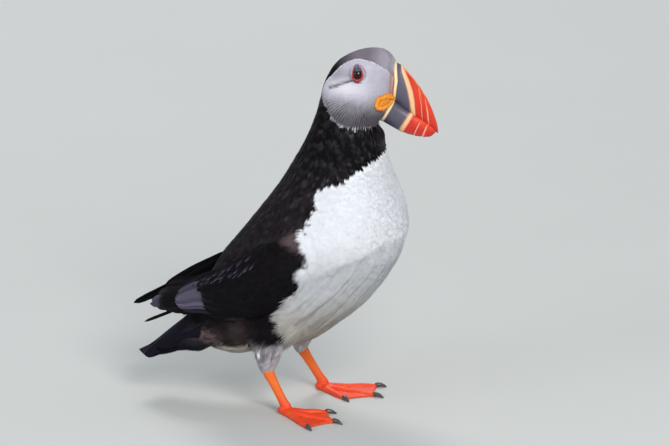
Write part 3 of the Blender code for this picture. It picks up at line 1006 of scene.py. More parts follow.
    def worn_edges(self):
        """How much paler the worn edges and lighter feathers are, partly wear and partly painted
        sheen: most on the mantle, none on white and face.
        """
        z = self.side[:, 1]
        dark = (self.white < 0) & (self.face < 0) & (self.flow < CROWN_ROW)
        mantle = smooth(70, 95, z) * fade(150, 165, z)
        return np.where(self.on_wing, 0.30, dark * (0.24 + 0.18 * mantle))


def depth_of_coat(chart):
    """How far the skin lies inside the feathers' tips, in millimetres."""
    full = settings().sizes.coat_depth / MM
    on_neck = np.interp(chart.flow, (9, 12, 14), (full, 1.35, 1.0))
    depth = np.where(chart.flow > 9, on_neck, full)
    for where, wanted in (
        (chart.face > 0, 0.85),
        (chart.on_wing, 1.2),
        (chart.on_tail, 1.3),
        (chart.on_thigh & (chart.side[:, 1] < THIGH_TOP), 1.3),
    ):
        depth = np.where(where, wanted, depth)
    return depth


def blur(values, edges, rounds):
    """Spreads values over the skin so that they change evenly."""
    mean = neighbour_mean(edges, len(values))
    for _ in range(rounds):
        values = 0.5 * values + 0.5 * mean(values)
    return values


def unwrap(mesh):
    """Lays the skin out flat, for the patches of the feathers too."""
    carrier = show("unwrapping", mesh)
    mesh.uv_layers.active = mesh.uv_layers.new(name="OFBake")
    bpy.ops.object.select_all(action="DESELECT")
    carrier.select_set(True)
    bpy.context.view_layer.objects.active = carrier
    bpy.ops.object.mode_set(mode="EDIT")
    bpy.ops.mesh.select_all(action="SELECT")
    bpy.ops.uv.smart_project(angle_limit=math.radians(70), island_margin=0.004)
    bpy.ops.object.mode_set(mode="OBJECT")
    bpy.data.objects.remove(carrier)


def drawn_finer(mesh, centres, reach):
    """Cuts the faces near the centres into ninths."""
    with edited(mesh) as bm:
        near = {v for v in bm.verts if min((v.co - c).length for c in centres) < reach}
        edges = [e for e in bm.edges if e.verts[0] in near and e.verts[1] in near]
        bmesh.ops.subdivide_edges(bm, edges=edges, cuts=2, use_grid_fill=True)


def lids_set(points, chart):
    """Skin round each eye lies on the ball as lids, and dips behind it in the opening."""
    for side, sign in SIGNS.items():
        centre = np.array(eye_middle[side])
        offset = points - centre
        reach = np.linalg.norm(offset, axis=1) / MM
        hold = fade(1.7, 3.4, chart.eye) * (chart.left * sign > 7) * (reach < 9)
        wanted = 3.6 + 1.35 * smooth(0.0, 0.5, chart.eye)
        moved = reach + (wanted - reach) * hold
        points = centre + offset * (moved / np.maximum(reach, 0.1))[:, None]
    return points


SOLID_SWELL, BALL_SWELL = 0.35 * MM, 0.45 * MM
FINER_REACH = 9.5 * MM  # round the middle of each eye
# Wings and tail are cut off behind these places; the quills make the rest.
KEPT_AHEAD_OF = {"wing_right": -73, "wing_left": -86, "tail": -91}


def skin_grid():
    """An even skin round all the flesh and the eyeballs, finer round the eyes."""
    behind = Vector((1, 0, 0))
    keep = {node: (Vector(from_body((x, 0, 0))), behind) for node, x in KEPT_AHEAD_OF.items()}
    solids = swollen_copies(FLESH, SOLID_SWELL, keep)
    balls = swollen_copies([f"eye_{side}" for side in SIDES], BALL_SWELL)
    mesh = redrawn(joined_mesh([solids, balls]), settings().sizes.skin_grain)
    relax(mesh, 6)
    drawn_finer(mesh, eye_middle.values(), FINER_REACH)
    relax(mesh, 1)
    return mesh


def skin_depth(mesh, chart):
    """How far each point of the skin is moved inwards, in millimetres."""
    normals = read_normals(mesh)
    x, z = chart.side.T
    depth = blur(depth_of_coat(chart), read_edges(mesh), 6) + SOLID_SWELL / MM
    # the fold across the belly, loose tufts below it, and the swell of feathers over it
    inner = smooth(3, 12, chart.white)
    depth += 1.1 * bell(chart.fold, 5.0) * inner
    tufts = ripple((chart.side @ (0.75, -0.55) + chart.left * 0.5) * 0.5, 17)
    depth -= 0.5 * tufts * smooth(0, 6, chart.white) * fade(74, 104, z)
    over = above_line(chart.side, BELLY_CREASE)
    depth -= 0.9 * bell(over - 5.5, 3.0) * inner * (x > 14)
    # fuller feathers under the root of the tail
    under = smooth(-0.2, -0.7, normals[:, 2]) * (z < 62) * ~chart.on_wing * ~chart.on_thigh
    depth -= 2.6 * under * smooth(-66, -56, x) * fade(-34, -24, x)
    # the crease behind the eye, a flatter crown and a flatter lower belly
    depth += 0.8 * bell(chart.crease, 0.8)
    depth += 1.2 * bell(x - 37, 13) * smooth(213, 219, z)
    keel = smooth(0.2, 0.7, normals @ (0.75, 0.0, -0.66)) * (chart.white > 2)
    depth += 2.1 * keel * fade(74, 112, z) * smooth(40, 54, z)
    # the ridge over the crease, and the shelf of the shoulder feathers over the wing
    over = above_line(chart.side, EYE_CREASE) - 1.9
    behind_eye = (x > 19) * (x < 33) * (z > 190) * (chart.face > 0)
    depth -= 0.5 * bell(over, 1.3) * behind_eye
    over = above_line(chart.side, SCAPULAR_EDGE)
    shelf = smooth(-0.6, 0.8, over) * bell(np.maximum(over, 0), 8)
    depth -= 0.8 * shelf * (x < 8) * (x > -52) * ~chart.on_wing * (chart.flow < 9)
    return depth


def write_markings(mesh, chart):
    """Stores on the skin what its feathers are drawn from."""
    normals, lie, region = read_normals(mesh), chart.lie(), chart.regions()
    colour = np.hstack([chart.colours(), np.ones((len(lie), 1))])
    dark, pale = chart.flecks()
    for name, values in (
        ("feather_length", chart.lengths() * MM),
        ("worn", chart.worn_edges()),
        ("chance", np.full(len(lie), 0.5)),
        ("streak", chart.streaks()),
        ("dark_share", dark),
        ("pale_share", pale),
    ):
        write_attribute(mesh, name, "FLOAT", values)
    write_attribute(mesh, "skin_normal", "FLOAT_VECTOR", normals)
    write_attribute(mesh, "lie", "FLOAT_VECTOR", lie)
    write_attribute(mesh, "plumage", "FLOAT_COLOR", colour)
    blunt = np.abs((normals * lie).sum(axis=1)) > 0.72
    x = chart.body[:, 0]
    quilled = chart.on_tail & (x < -64) & (normals[:, 2] > -0.6) | chart.on_wing & (x < -46)
    region[(blunt & (chart.on_wing | chart.on_tail)) | quilled] = REGIONS.index("bare")
    first = np.array([polygon.vertices[0] for polygon in mesh.polygons])
    write_attribute(mesh, "region", "INT", region[first], "FACE")
    write_attribute(mesh, "tint", "FLOAT_COLOR", colour[first], "FACE")


def make_skin():
    """One skin for all the flesh, inside the solids by the depth of the coat."""
    mesh = skin_grid()
    chart = Map(read_points(mesh))
    depth = skin_depth(mesh, chart)
    write_points(mesh, read_points(mesh) - read_normals(mesh) * depth[:, None] * MM)
    relax(mesh, 2)
    write_points(mesh, lids_set(read_points(mesh), chart))
    write_markings(mesh, chart)
    unwrap(mesh)
    mesh.shade_smooth()
    return mesh


# ---------------------------------------------------------------- feathers

BARB = ((-1, 0), (0, 1), (1, 0))  # the cross-section of a strand
STRAND_CREASE, QUILL_CREASE = 1.0, 1.2  # radians between faces that stay sharp
VARIANTS = 3  # of each kind of feather
UNWRAP_PATCH = 0.003  # width and length of a feather on the unwrap
PLUSH_LEANS = (-0.08, 0.0, 0.09)
# Feathers of several strands: seed, strands, spread, half width of the root, half
# width and thickness of a strand, and how much shorter the outer strands are.
LOCKS = {
    "contour": (40, 7, 0.05, 0.27, 0.085, 0.006, 0.32),
    "silk": (50, 9, 0.08, 0.34, 0.065, 0.004, 0.16),
    "downy": (60, 8, 0.24, 0.16, 0.060, 0.008, 0.16),
    "plume": (70, 9, 0.30, 0.14, 0.042, 0.008, 0.16),
}


def solid_strand(rows, start):
    """A closed blade that ends in a point: rows of (across, along, half width, thickness)."""
    points = []
    for across, along, half, thick in rows[:-1]:
        points += [(across + wide * half, along, high * thick) for wide, high in BARB]
    points.append((rows[-1][0], rows[-1][1], 0.0))
    vane = [(2 * x, y, z) for x, y, z in points]
    size, tip = len(BARB), start + len(points) - 1
    faces = [tuple(start + k for k in range(size))]
    for low in range(start, tip - size + 1, size):
        for k in range(size):
            n = (k + 1) % size
            far = (low + size + n, low + size + k) if low + size < tip else (tip,)
            faces.append((low + k, low + n, *far))
    return points, vane, faces


def feather_mesh(name, strands):
    """One feather of its strands, 1 long, with its root at the origin."""
    points, vane, faces = [], [], []
    for rows in strands:
        for whole, part in zip((points, vane, faces), solid_strand(rows, len(points))):
            whole.extend(part)
    mesh = outward(mesh_from(name, points, faces), STRAND_CREASE)
    write_attribute(mesh, "vane", "FLOAT_VECTOR", vane)
    return mesh


def plush_strand(lean):
    """One slender point, as on the face."""
    return [(lean * y * y, y, half, 0.016) for y, half in ((0, 0.11), (0.5, 0.16), (1, 0))]


def lock_strands(seed, count, spread, root, half, thick, rounding):
    """Slender strands that part towards their ends."""
    rng = np.random.default_rng(seed)
    strands = []
    for place in np.linspace(-1, 1, count):
        bend = spread * place + 0.4 * spread * (rng.random() - 0.5)
        reach = 1.0 - rounding * place**2 - 0.20 * rng.random()
        rows = []
        for share, width in ((0, 0.6), (0.5, 1), (1, 0)):
            rows.append((root * place + bend * share**1.4, reach * share, half * width, thick))
        strands.append(rows)
    return strands


def feather_strands(kind, index):
    """The strands of one variant of a kind of feather."""
    if kind == "plush":
        return [plush_strand(PLUSH_LEANS[index])]
    seed, *shape = LOCKS[kind]
    return lock_strands(seed + index, *shape)


@once("collections", "feathers_{}")
def feather_box(name, kind):
    """A hidden collection with the variants of one kind of feather."""
    box = bpy.data.collections.new(name)
    for index in range(VARIANTS):
        mesh = feather_mesh(f"{name}_{index}", feather_strands(kind, index))
        box.objects.link(bpy.data.objects.new(mesh.name, mesh))
    return box


Coat = namedtuple("Coat", "region kind spacing slim depth hug ruffle pitch sweep")
COATS = (
    Coat("face", "plush", 0.38, 0.50, 0.85, 0.90, 0.10, 0.05, 0.15),
    Coat("crown", "plush", 0.42, 0.50, 1.10, 0.90, 0.12, 0.06, 0.25),
    Coat("collar", "silk", 1.30, 0.55, 1.80, 0.90, 0.14, 0.06, 0.55),
    Coat("breast_right", "silk", 1.38, 0.50, 1.90, 0.94, 0.10, 0.03, 0.14),
    Coat("breast_left", "silk", 1.38, 0.50, 1.90, 0.94, 0.10, 0.03, 0.14),
    Coat("belly_right", "downy", 1.38, 0.52, 2.00, 0.90, 0.14, 0.05, 0.40),
    Coat("belly_left", "downy", 1.38, 0.52, 2.00, 0.90, 0.14, 0.05, 0.40),
    Coat("mantle", "contour", 1.70, 0.55, 1.90, 0.94, 0.10, 0.04, 0.40),
    Coat("wing", "contour", 1.60, 0.46, 1.60, 0.94, 0.08, 0.03, 0.25),
    Coat("vent", "downy", 1.55, 0.55, 2.00, 0.84, 0.20, 0.08, 0.50),
    Coat("thigh", "downy", 1.00, 0.42, 1.50, 0.82, 0.14, 0.10, 0.35),
    Coat("fringe", "plume", 0.92, 0.55, 2.30, 0.82, 0.22, 0.10, 0.60),
)
PALE_COATS = ("face", "breast", "belly", "thigh", "fringe")

COAT_NUMBERS = ("Spacing", "Slim", "Depth", "Hug", "Ruffle", "Pitch", "Sweep")
COAT_INPUTS = {
    "Skin": "Object",
    "Feathers": "Collection",
    "Region": "Int",
    **dict.fromkeys(COAT_NUMBERS, "Float"),
    "Seed": "Int",
    "Material": "Material",
}


def new_tree(name, inputs):
    """An empty geometry tree's net, and the tree's inputs by name."""
    tree = bpy.data.node_groups.new(name, "GeometryNodeTree")
    sockets = [("Geometry", "INPUT", "Geometry")]
    sockets += [(label, "INPUT", kind) for label, kind in inputs.items()]
    for label, way, kind in (*sockets, ("Geometry", "OUTPUT", "Geometry")):
        tree.interface.new_socket(label, in_out=way, socket_type="NodeSocket" + kind)
    net = Net(tree)
    return net, net.add("NodeGroupInput")


def end_tree(net, geometry, material):
    """Shades the geometry smooth and hands it out in its material."""
    geometry = net.add("GeometryNodeSetShadeSmooth", {"Geometry": geometry})[0]
    values = {"Geometry": geometry, "Material": material}
    net.add("NodeGroupOutput", {0: net.add("GeometryNodeSetMaterial", values)[0]})
    return net.tree


def random_number(net, low, high, seed):
    values = {"Min_001": low, "Max_001": high, "Seed": seed}
    return net.add("FunctionNodeRandomValue", values, data_type="FLOAT")["Value_001"]


@once("node_groups", "Coat")
def coat_tree(name):
    """Feathers scattered over one region of the skin, laid along it and kept close."""
    net, given = new_tree(name, COAT_INPUTS)
    seed, spacing = given["Seed"], given["Spacing"]
    skin = net.add("GeometryNodeObjectInfo", {"Object": given["Skin"]})["Geometry"]
    in_region = net.add(
        "FunctionNodeCompare",
        {"A_INT": net.named("region", "INT"), "B_INT": given["Region"]},
        data_type="INT",
        operation="EQUAL",
    )[0]
    density = 6.0 / (spacing * spacing)
    scattered = net.add(
        "GeometryNodeDistributePointsOnFaces",
        {
            "Mesh": skin,
            "Selection": in_region,
            "Distance Min": spacing,
            "Density Max": density,
            "Seed": seed,
        },
        distribute_method="POISSON",
    )[0]
    points = net.store(scattered, "root_uv", net.named("OFBake", "FLOAT_VECTOR"), "FLOAT_VECTOR")
    points = net.add("GeometryNodeRemoveAttribute", {"Geometry": points, "Name": "OFBake"})[0]
    points = net.store(points, "chance", random_number(net, 0.0, 1.0, seed + 1))
    points = net.store(points, "plumage", net.named("tint", "FLOAT_COLOR"), "FLOAT_COLOR")
    laid = laid_along(net, given)
    length = net.named("feather_length") * random_number(net, 0.84, 1.16, seed + 5)
    size = net.join(length * given["Slim"], length, length)
    values = {"Collection": given["Feathers"], "Separate Children": True, "Reset Children": True}
    variants = net.add("GeometryNodeCollectionInfo", values)[0]
    values = {"Min_002": 0, "Max_002": VARIANTS - 1, "Seed": seed + 6}
    which = net.add("FunctionNodeRandomValue", values, data_type="INT")["Value_002"]
    placed = net.add(
        "GeometryNodeInstanceOnPoints",
        {
            "Points": points,
            "Instance": variants,
            "Pick Instance": True,
            "Instance Index": which,
            "Rotation": laid,
            "Scale": size,
        },
    )[0]
    feathers = net.add("GeometryNodeRealizeInstances", {"Geometry": placed})[0]
    feathers = settle_on_skin(net, feathers, skin, given)
    return end_tree(net, lay_out_patches(net, feathers), given["Material"])


def laid_along(net, given):
    """The turn of each feather: along the skin's lie, a little ruffled and lifted."""
    upright = net.add(
        "FunctionNodeAxesToRotation",
        {
            "Primary Axis": net.named("skin_normal", "FLOAT_VECTOR"),
            "Secondary Axis": net.named("lie", "FLOAT_VECTOR"),
        },
        primary_axis="Z",
        secondary_axis="Y",
    )[0]
    seed, ruffle = given["Seed"], given["Ruffle"]
    spot = net.add("GeometryNodeInputPosition")[0]
    drift = (net.noise(spot, 75.0, 1.0) - 0.5) * 2.0 * given["Sweep"]
    turn = random_number(net, -1.0, 1.0, seed + 2) * ruffle + drift
    roll = random_number(net, -0.5, 0.5, seed + 3) * ruffle
    pitch = random_number(net, 0.3, 1.0, seed + 4) * given["Pitch"]
    jitter = net.add("FunctionNodeEulerToRotation", {0: net.join(pitch, roll, turn)})[0]
    values = {"Rotation": upright, "Rotate By": jitter}
    return net.add("FunctionNodeRotateRotation", values, rotation_space="LOCAL")[0]


def nearest_on_skin(net, skin, value, place):
    values = {"Mesh": skin, "Value": value, "Sample Position": place}
    return net.add("GeometryNodeSampleNearestSurface", values, data_type="FLOAT_VECTOR")[0]


def settle_on_skin(net, feathers, skin, given):
    """Bends each feather over the skin, root down and tip at the coat's depth."""
    place = net.add("GeometryNodeInputPosition")[0]
    foot = nearest_on_skin(net, skin, place, place)
    up = nearest_on_skin(net, skin, net.named("skin_normal", "FLOAT_VECTOR"), place)
    _, along, thick = net.split(net.named("vane", "FLOAT_VECTOR"))
    rise = along.math("MAXIMUM", 0.0) ** 0.75
    clump = (net.noise(place, 130.0, 1.0) - 0.5) * given["Sweep"] * 0.8
    varied = 0.97 + net.named("chance") * 0.04 + clump
    height = given["Depth"] * varied * (0.16 + rise * 0.84)
    height = height + thick * net.named("feather_length")
    close = net.vector("ADD", foot, net.scaled(up, height))
    values = {"Factor_Float": given["Hug"], "A_Vector": place, "B_Vector": close}
    bent = net.add("ShaderNodeMix", values, data_type="VECTOR")["Result_Vector"]
    return net.add("GeometryNodeSetPosition", {"Geometry": feathers, "Position": bent})[0]


def lay_out_patches(net, feathers):
    """Gives each feather its own small patch of the unwrap, at its root's place."""
    across, along, thick = net.split(net.named("vane", "FLOAT_VECTOR"))
    half = UNWRAP_PATCH / 2
    spot = net.join(across * half, (along + thick * 2.0) * UNWRAP_PATCH - half, 0.0)
    spot = net.vector("ADD", net.named("root_uv", "FLOAT_VECTOR"), spot)
    return net.store(feathers, "OFBake", spot, "FLOAT2", "CORNER")


def run_tree(name, tree, base, values):
    """Evaluates a geometry tree on a base mesh and returns the plain result."""
    maker = show(name + "_maker", base)
    modifier = maker.modifiers.new("grow", "NODES")
    modifier.node_group = tree
    sockets = {s.name: s.identifier for s in tree.interface.items_tree if s.in_out == "INPUT"}
    for label, value in values.items():
        modifier[sockets[label]] = value
    mesh = plain_mesh(maker)
    bpy.data.objects.remove(maker)
    return mesh


def drop_attributes(mesh, *names):
    """Takes away what only the tree had use for."""
    for name in names:
        layer = mesh.attributes.get(name)
        if layer:
            mesh.attributes.remove(layer)


def grow_coat(coat):
    """The feathers of one region of the skin, as a piece."""
    region = REGIONS.index(coat.region)
    values = {label: getattr(coat, label.lower()) for label in COAT_NUMBERS}
    values |= {
        "Skin": bpy.data.objects["skin"],
        "Feathers": feather_box(coat.kind),
        "Region": region,
        "Spacing": coat.spacing * MM,
        "Depth": coat.depth * MM,
        "Seed": settings().sizes.seed * 100 + region * 10,
        "Material": plumage_finish(),
    }
    name = "coat_" + coat.region
    mesh = run_tree(name, coat_tree(), bpy.data.meshes.new(name), values)
    mesh.name = name
    drop_attributes(mesh, "lie", "skin_normal", "feather_length", "region", "root_uv", "tint")
    return show(name, mesh)


# ---------------------------------------------------------------- quills

# The folded wing: where its middle line runs, its half height and thickness, how
# far its outer face looks up in degrees, and how far its edges bend back.
WING_ROWS = (
    (17, 35.5, 110, 4, 2.0, 12, 0.3),
    (12, 39.5, 105, 13, 4.2, 12, 1.6),
    (-5, 42.0, 92.5, 19.0, 5.4, 12, 3.6),
    (-24, 39.0, 81, 19.0, 5.4, 18, 4.0),
    (-42, 31.5, 74, 15.0, 5.0, 26, 3.2),
    (-58, 22.5, 69, 11.0, 4.0, 34, 1.8),
    (-72, 16.0, 62.5, 6.8, 2.6, 40, 0.7),
    (-84, 11.5, 57, 2.6, 1.3, 42, 0.1),
)
WING_REACH = {"right": (0, 0), "left": (-17, -4.0)}  # how far the tip is moved ahead and up
WING_LENGTH = 84


class Wing:
    """Places on the outer face of a folded wing."""

    def __init__(self, side):
        self.sign = SIGNS[side]
        self.rows = np.array(WING_ROWS, float)
        share = np.maximum(0, -self.rows[:, 0] / WING_LENGTH) ** 2
        for column, moved in zip((0, 2), WING_REACH[side]):
            self.rows[:, column] += moved * share
        middle = self.rows[:, :3] * (1, self.sign, 1)
        axis = middle[-1] - middle[0]
        self.axis = axis / np.linalg.norm(axis)

    def at(self, station, height, lift):
        """A place and its outward direction: station counts the rows from the wrist."""
        index = np.arange(len(self.rows))
        row = [np.interp(station, index, column) for column in self.rows.T]
        beyond = max(0.0, station - index[-1])
        x, y, z, half_height, thickness, tilt, bow = row
        angle = math.radians(tilt)
        out = np.array([0, self.sign * math.cos(angle), math.sin(angle)])
        out -= self.axis * (out @ self.axis)
        out /= np.linalg.norm(out)
        up = np.cross(self.axis, out)
        up *= np.sign(up[2])
        bulge = thickness * math.sqrt(max(0.0, 1 - height * height)) - bow * height * height
        middle = np.array([x, y * self.sign, z]) + self.axis * beyond * 12
        return middle + up * half_height * height + out * (bulge + lift), out


# A feather's middle line, the way its face looks, its half width, its colour, and how
# much of its length the rounded tip takes.
Quill = namedtuple("Quill", "path out half colour tip")
QUILL_POINTS = 18
# how much the quills are lightened along edges and by feather, partly wear and partly painted sheen
QUILL_WEAR_AND_SHEEN = 0.3
ALONG = np.linspace(0, 1, QUILL_POINTS)  # from a quill's root to its tip


def along_quill(row):
    """The same row at every point of a quill."""
    return rows_of(row, QUILL_POINTS)


# Where the near wing's primaries end, from the uppermost down.
NEAR_TIPS = (
    (-76.8, -8, 73.2), (-79.6, -9.5, 71.0), (-81.7, -11, 68.8), (-84.5, -12.5, 66.5),
    (-88.4, -14, 62.2), (-89.1, -15, 60.0), (-84.9, -16, 58.8), (-80.3, -17, 58.5),
    (-75.8, -17.5, 58.1), (-70.7, -18, 58.1),
)  # fmt: skip
SLIPPED = (-68, -18, 60.5), (-93.5, -12, 47.7)  # root and tip of the slipped primary


class WingFeathers:
    """The flight feathers that show on a folded wing, laid lowest layer first."""

    def __init__(self, side):
        self.side = side
        self.wing = Wing(side)
        self.rng = np.random.default_rng(5 if side == "right" else 6)
        ink = settings().plumage
        self.black, self.lavender = np.array(ink.black), np.array(ink.lavender)
        self.quills = []
        self.primaries()
        self.secondaries()
        self.coverts()
        self.worn_tips()
        if side == "right":
            self.slipped_primary()

    def straight(self, start, end, half, colour, tip):
        """One feather from a place on the wing straight to a place on the body."""
        base, out = self.wing.at(*start)
        share = ALONG[:, None]
        path = base + (np.array(end) - base) * share - out * 2.6 * np.sin(math.pi * share)
        self.quills.append(Quill(path, along_quill(out), half, colour, tip))

    def lay(self, start, end, lifts, half, colour, tip):
        """One feather over the wing from (station, height) to (station, height)."""
        end = (end[0] + self.rng.normal(0, 0.05), end[1] + self.rng.normal(0, 0.012))
        steps = [np.interp(ALONG, (0, 1), pair) for pair in (*zip(start, end), lifts)]
        placed = [self.wing.at(*step) for step in zip(*steps)]
        path, outs = (np.array(part) for part in zip(*placed))
        half *= self.rng.uniform(0.92, 1.08)
        self.quills.append(Quill(path, outs, half, colour, tip))

    def primaries(self):
        """Ten long ones, of which two on the near wing have tips that are partly worn and partly
        painted sheen.
        """
        worn = mixed(along_quill(self.black), self.lavender, smooth(0.80, 0.90, ALONG))
        for k, share in enumerate(np.linspace(0, 1, len(NEAR_TIPS))):
            colour = self.black * (1.0 + 0.25 * (k % 2))
            if self.side == "right":
                start = (4.7, 0.75 - 1.25 * share, -2.4)
                self.straight(start, NEAR_TIPS[k], 3.3, worn if k in (4, 5) else colour, 0.25)
            else:
                start = (3.6, 0.62 - 1.1 * share)
                end = (7.3 - 1.5 * share, 0.42 - 1.15 * share)
                self.lay(start, end, (-3.6, -0.6 - 0.05 * k), 3.4, colour, 0.2)

    def secondaries(self):
        """Nine, which end in the pale panel, partly worn and partly painted sheen; the first two
        and the last are darker.
        """
        for share in np.linspace(0, 1, 9):
            if share < 0.2:
                worn = 0.12
            else:
                worn = 0.3 if share > 0.95 else self.rng.uniform(0.85, 1.15)
            height = 0.92 - 1.66 * share
            end = 5.95 - 0.10 * share + 0.15 * math.sin(math.pi * share)
            self.lay((4.0, height), (end, height), (-2.0, 0.4), 2.8, self.lavender * worn, 0.35)

    def coverts(self):
        """The greater coverts over the roots of the rest."""
        for share in np.linspace(0, 1, 17):
            height = 0.98 - 1.94 * share
            end = (4.95 - 0.30 * math.sin(math.pi * share * 0.8), height * 0.98)
            colour = self.black * self.rng.uniform(0.9, 1.2)
            self.lay((3.9, height), end, (-1.4, 0.5), 1.7, colour, 0.45)

    def worn_tips(self):
        """Two rows of small pale tips along the upper edge, partly worn and partly painted sheen.
        """
        uniform = self.rng.uniform
        tips = mixed(along_quill(self.black), self.lavender * 0.55, smooth(0.5, 1, ALONG))
        for row in (0, 1):
            for place in np.linspace(2.1, 4.1, 17):
                height = 0.98 - 0.24 * row + uniform(-0.05, 0.05)
                end = (place + uniform(0.45, 0.75), height - uniform(0.20, 0.34))
                self.lay((place, height), end, (-0.8, uniform(0.4, 0.9)), 0.75, tips, 0.7)

    def slipped_primary(self):
        """One primary that has slipped out below the rest."""
        share = np.linspace(0, 1, 14)[:, None]
        root, tip = (np.array(place) for place in SLIPPED)
        out = rows_of((0.1, -0.9, 0.42), len(share))
        self.quills.append(Quill(root + (tip - root) * share, out, 1.0, self.black, 0.3))


# The tail by cross-sections: ahead, middle height, half height, half width, bow.
TAIL_ROWS = (
    (-97.0, 27.0, 0.7, 5, 0.6),
    (-93.0, 28.5, 2.0, 11, 2.5),
    (-84.5, 33.7, 4.3, 16, 4.0),
    (-72.0, 40.7, 7.8, 18, 4.0),
    (-59.0, 46.5, 11.5, 18, 3.0),
    (-48.0, 55.0, 11.0, 16, 0.0),
)


def tail_shape(x):
    """Middle height, half height, half width and bow of the tail at each x."""
    ahead, *columns = np.array(TAIL_ROWS).T
    return [np.interp(x, ahead, column) for column in columns]


def tail_coverts():
    """Seven pairs of coverts that hang below the tail, the lowest first."""
    ink = settings().plumage
    quills = []
    for k, sign in product(range(7), (-1, 1)):
        low = k / 6
        x = np.interp(ALONG, (0, 1), (-46.0, -93.0 + 9.0 * low))
        middle, high, wide, _ = tail_shape(x)
        turn = math.radians(12 + 68 * low)
        lift = 0.4 - 3.0 * fade(0, 0.4, ALONG)
        y = sign * (wide + lift) * math.sin(turn)
        z = middle - (high + lift + 2.2 * np.sin(math.pi * ALONG)) * math.cos(turn)
        out = np.array([0.12, sign * math.sin(turn), -math.cos(turn)])
        path = np.stack([x, y, z], axis=1)
        colour = mixed(rows_of(ink.black, 1), ink.tail, np.array([low]))[0]
        quills.append(Quill(path, along_quill(out), 3.8, colour, 0.45))
    return quills


def tail_feathers():
    """Eight pairs of tail feathers, the middle pair on top."""
    colour = np.array(settings().plumage.tail)
    quills = []
    for k, sign in product(range(8), (-1, 1)):
        out = (k + 0.35) / 7.6
        x = np.linspace(-50.0, -99.6 + 7.0 * out**1.5, QUILL_POINTS)
        middle, high, wide, bow = tail_shape(x)
        y = out * np.interp(x, (-99, -86, -56), (10.5, 14.5, 10))
        rise = np.sqrt(np.clip(1 - (y / np.maximum(wide, y + 0.3)) ** 2, 0, 1))
        z = middle + high * rise - bow * rise**2 - 5 * (y / 18) ** 2 + 0.6 - 0.14 * k
        z -= np.maximum(-TAIL_TIP_BEHIND - x, 0) * 0.5 + 3.0 * fade(0, 0.3, ALONG)
        path = np.stack([x, sign * y, z], axis=1)
        face = np.array([0.42, sign * 0.75 * out, 0.85])
        outs = along_quill(face / np.linalg.norm(face))
        quills.append(Quill(path, outs, 3.3, colour * (1.0 + 0.3 * (k % 2)), 0.17))
    return quills


def quill_mesh(name, quills):
    """The quills' middle lines as edges, with what the tree needs at each point."""
    points, edges = [], []
    rows = {field: [] for field in ("out", "half", "plumage", "along", "chance")}
    for index, quill in enumerate(quills):
        start, count = len(points), len(quill.path)
        points += list(from_body(quill.path))
        edges += [(start + k, start + k + 1) for k in range(count - 1)]
        along = np.linspace(0, 1, count)
        swell = np.minimum(1, 0.35 + along * 2.2)
        near_tip = np.maximum(0, (along - 1 + quill.tip) / quill.tip)
        end = np.sqrt(np.maximum(0.004, 1 - near_tip**2))
        rows["out"] += list(quill.out)
        rows["half"] += list(quill.half * MM * swell * end)
        rows["plumage"] += [rgba(c) for c in np.broadcast_to(quill.colour, (count, 3))]
        rows["along"] += list(along)
        rows["chance"] += [(index * 0.618) % 1] * count  # evenly spread, none alike
    mesh = bpy.data.meshes.new(name)
    mesh.from_pydata([tuple(p) for p in points], edges, [])
    kinds = ("FLOAT_VECTOR", "FLOAT", "FLOAT_COLOR", "FLOAT", "FLOAT")
    for (field, values), kind in zip(rows.items(), kinds):
        write_attribute(mesh, field, kind, values)
    return mesh


@once("objects", "quill_section")
def quill_section(name):
    """The cross-section of a flight feather: a thin vane with a raised quill."""
    upper = ((-1, 0), (-0.6, 0.04), (-0.09, 0.04), (-0.04, 0.075))
    lower = ((0.6, -0.02), (0.05, -0.03), (0, -0.06), (-0.05, -0.03), (-0.6, -0.02))
    outline = [*upper, *((-x, y) for x, y in upper[::-1]), *lower]
    mesh = bpy.data.meshes.new(name)
    count = len(outline)
    edges = [(k, (k + 1) % count) for k in range(count)]
    mesh.from_pydata([(y, x, 0) for x, y in outline], edges, [])
    write_attribute(mesh, "across", "FLOAT", [x for x, y in outline])
    return bpy.data.objects.new(name, mesh)


@once("node_groups", "Quills")
def quill_tree(name):
    """Sweeps the feather section along each middle line, face outwards."""
    net, given = new_tree(name, {"Section": "Object", "Material": "Material", "Worn": "Float"})
    lines = net.add("GeometryNodeMeshToCurve", {"Mesh": given["Geometry"]})[0]
    values = {"Curve": lines, "Normal": net.named("out", "FLOAT_VECTOR")}
    lines = net.add("GeometryNodeSetCurveNormal", values, mode="FREE")[0]
    section = net.add("GeometryNodeObjectInfo", {"Object": given["Section"]})["Geometry"]
    section = net.add("GeometryNodeMeshToCurve", {"Mesh": section})[0]
    half = net.named("half")
    values = {"Curve": lines, "Profile Curve": section, "Scale": half, "Fill Caps": True}
    blades = net.add("GeometryNodeCurveToMesh", values)[0]
    vane = net.join(net.named("across"), net.named("along"), net.named("along") * 5.0)
    blades = net.store(blades, "vane", vane, "FLOAT_VECTOR")
    blades = net.store(blades, "worn", given["Worn"])
    blades = net.add("GeometryNodeRealizeInstances", {"Geometry": blades})[0]
    return end_tree(net, blades, given["Material"])


def grow_quills(name, quills):
    """The quills as a piece."""
    values = {"Section": quill_section(), "Material": plumage_finish(), "Worn": QUILL_WEAR_AND_SHEEN}
    mesh = run_tree(name, quill_tree(), quill_mesh(name, quills), values)
    mesh.name = name
    drop_attributes(mesh, "out", "half", "across", "along")
    return show(name, outward(mesh, QUILL_CREASE))


# ---------------------------------------------------------------- bill

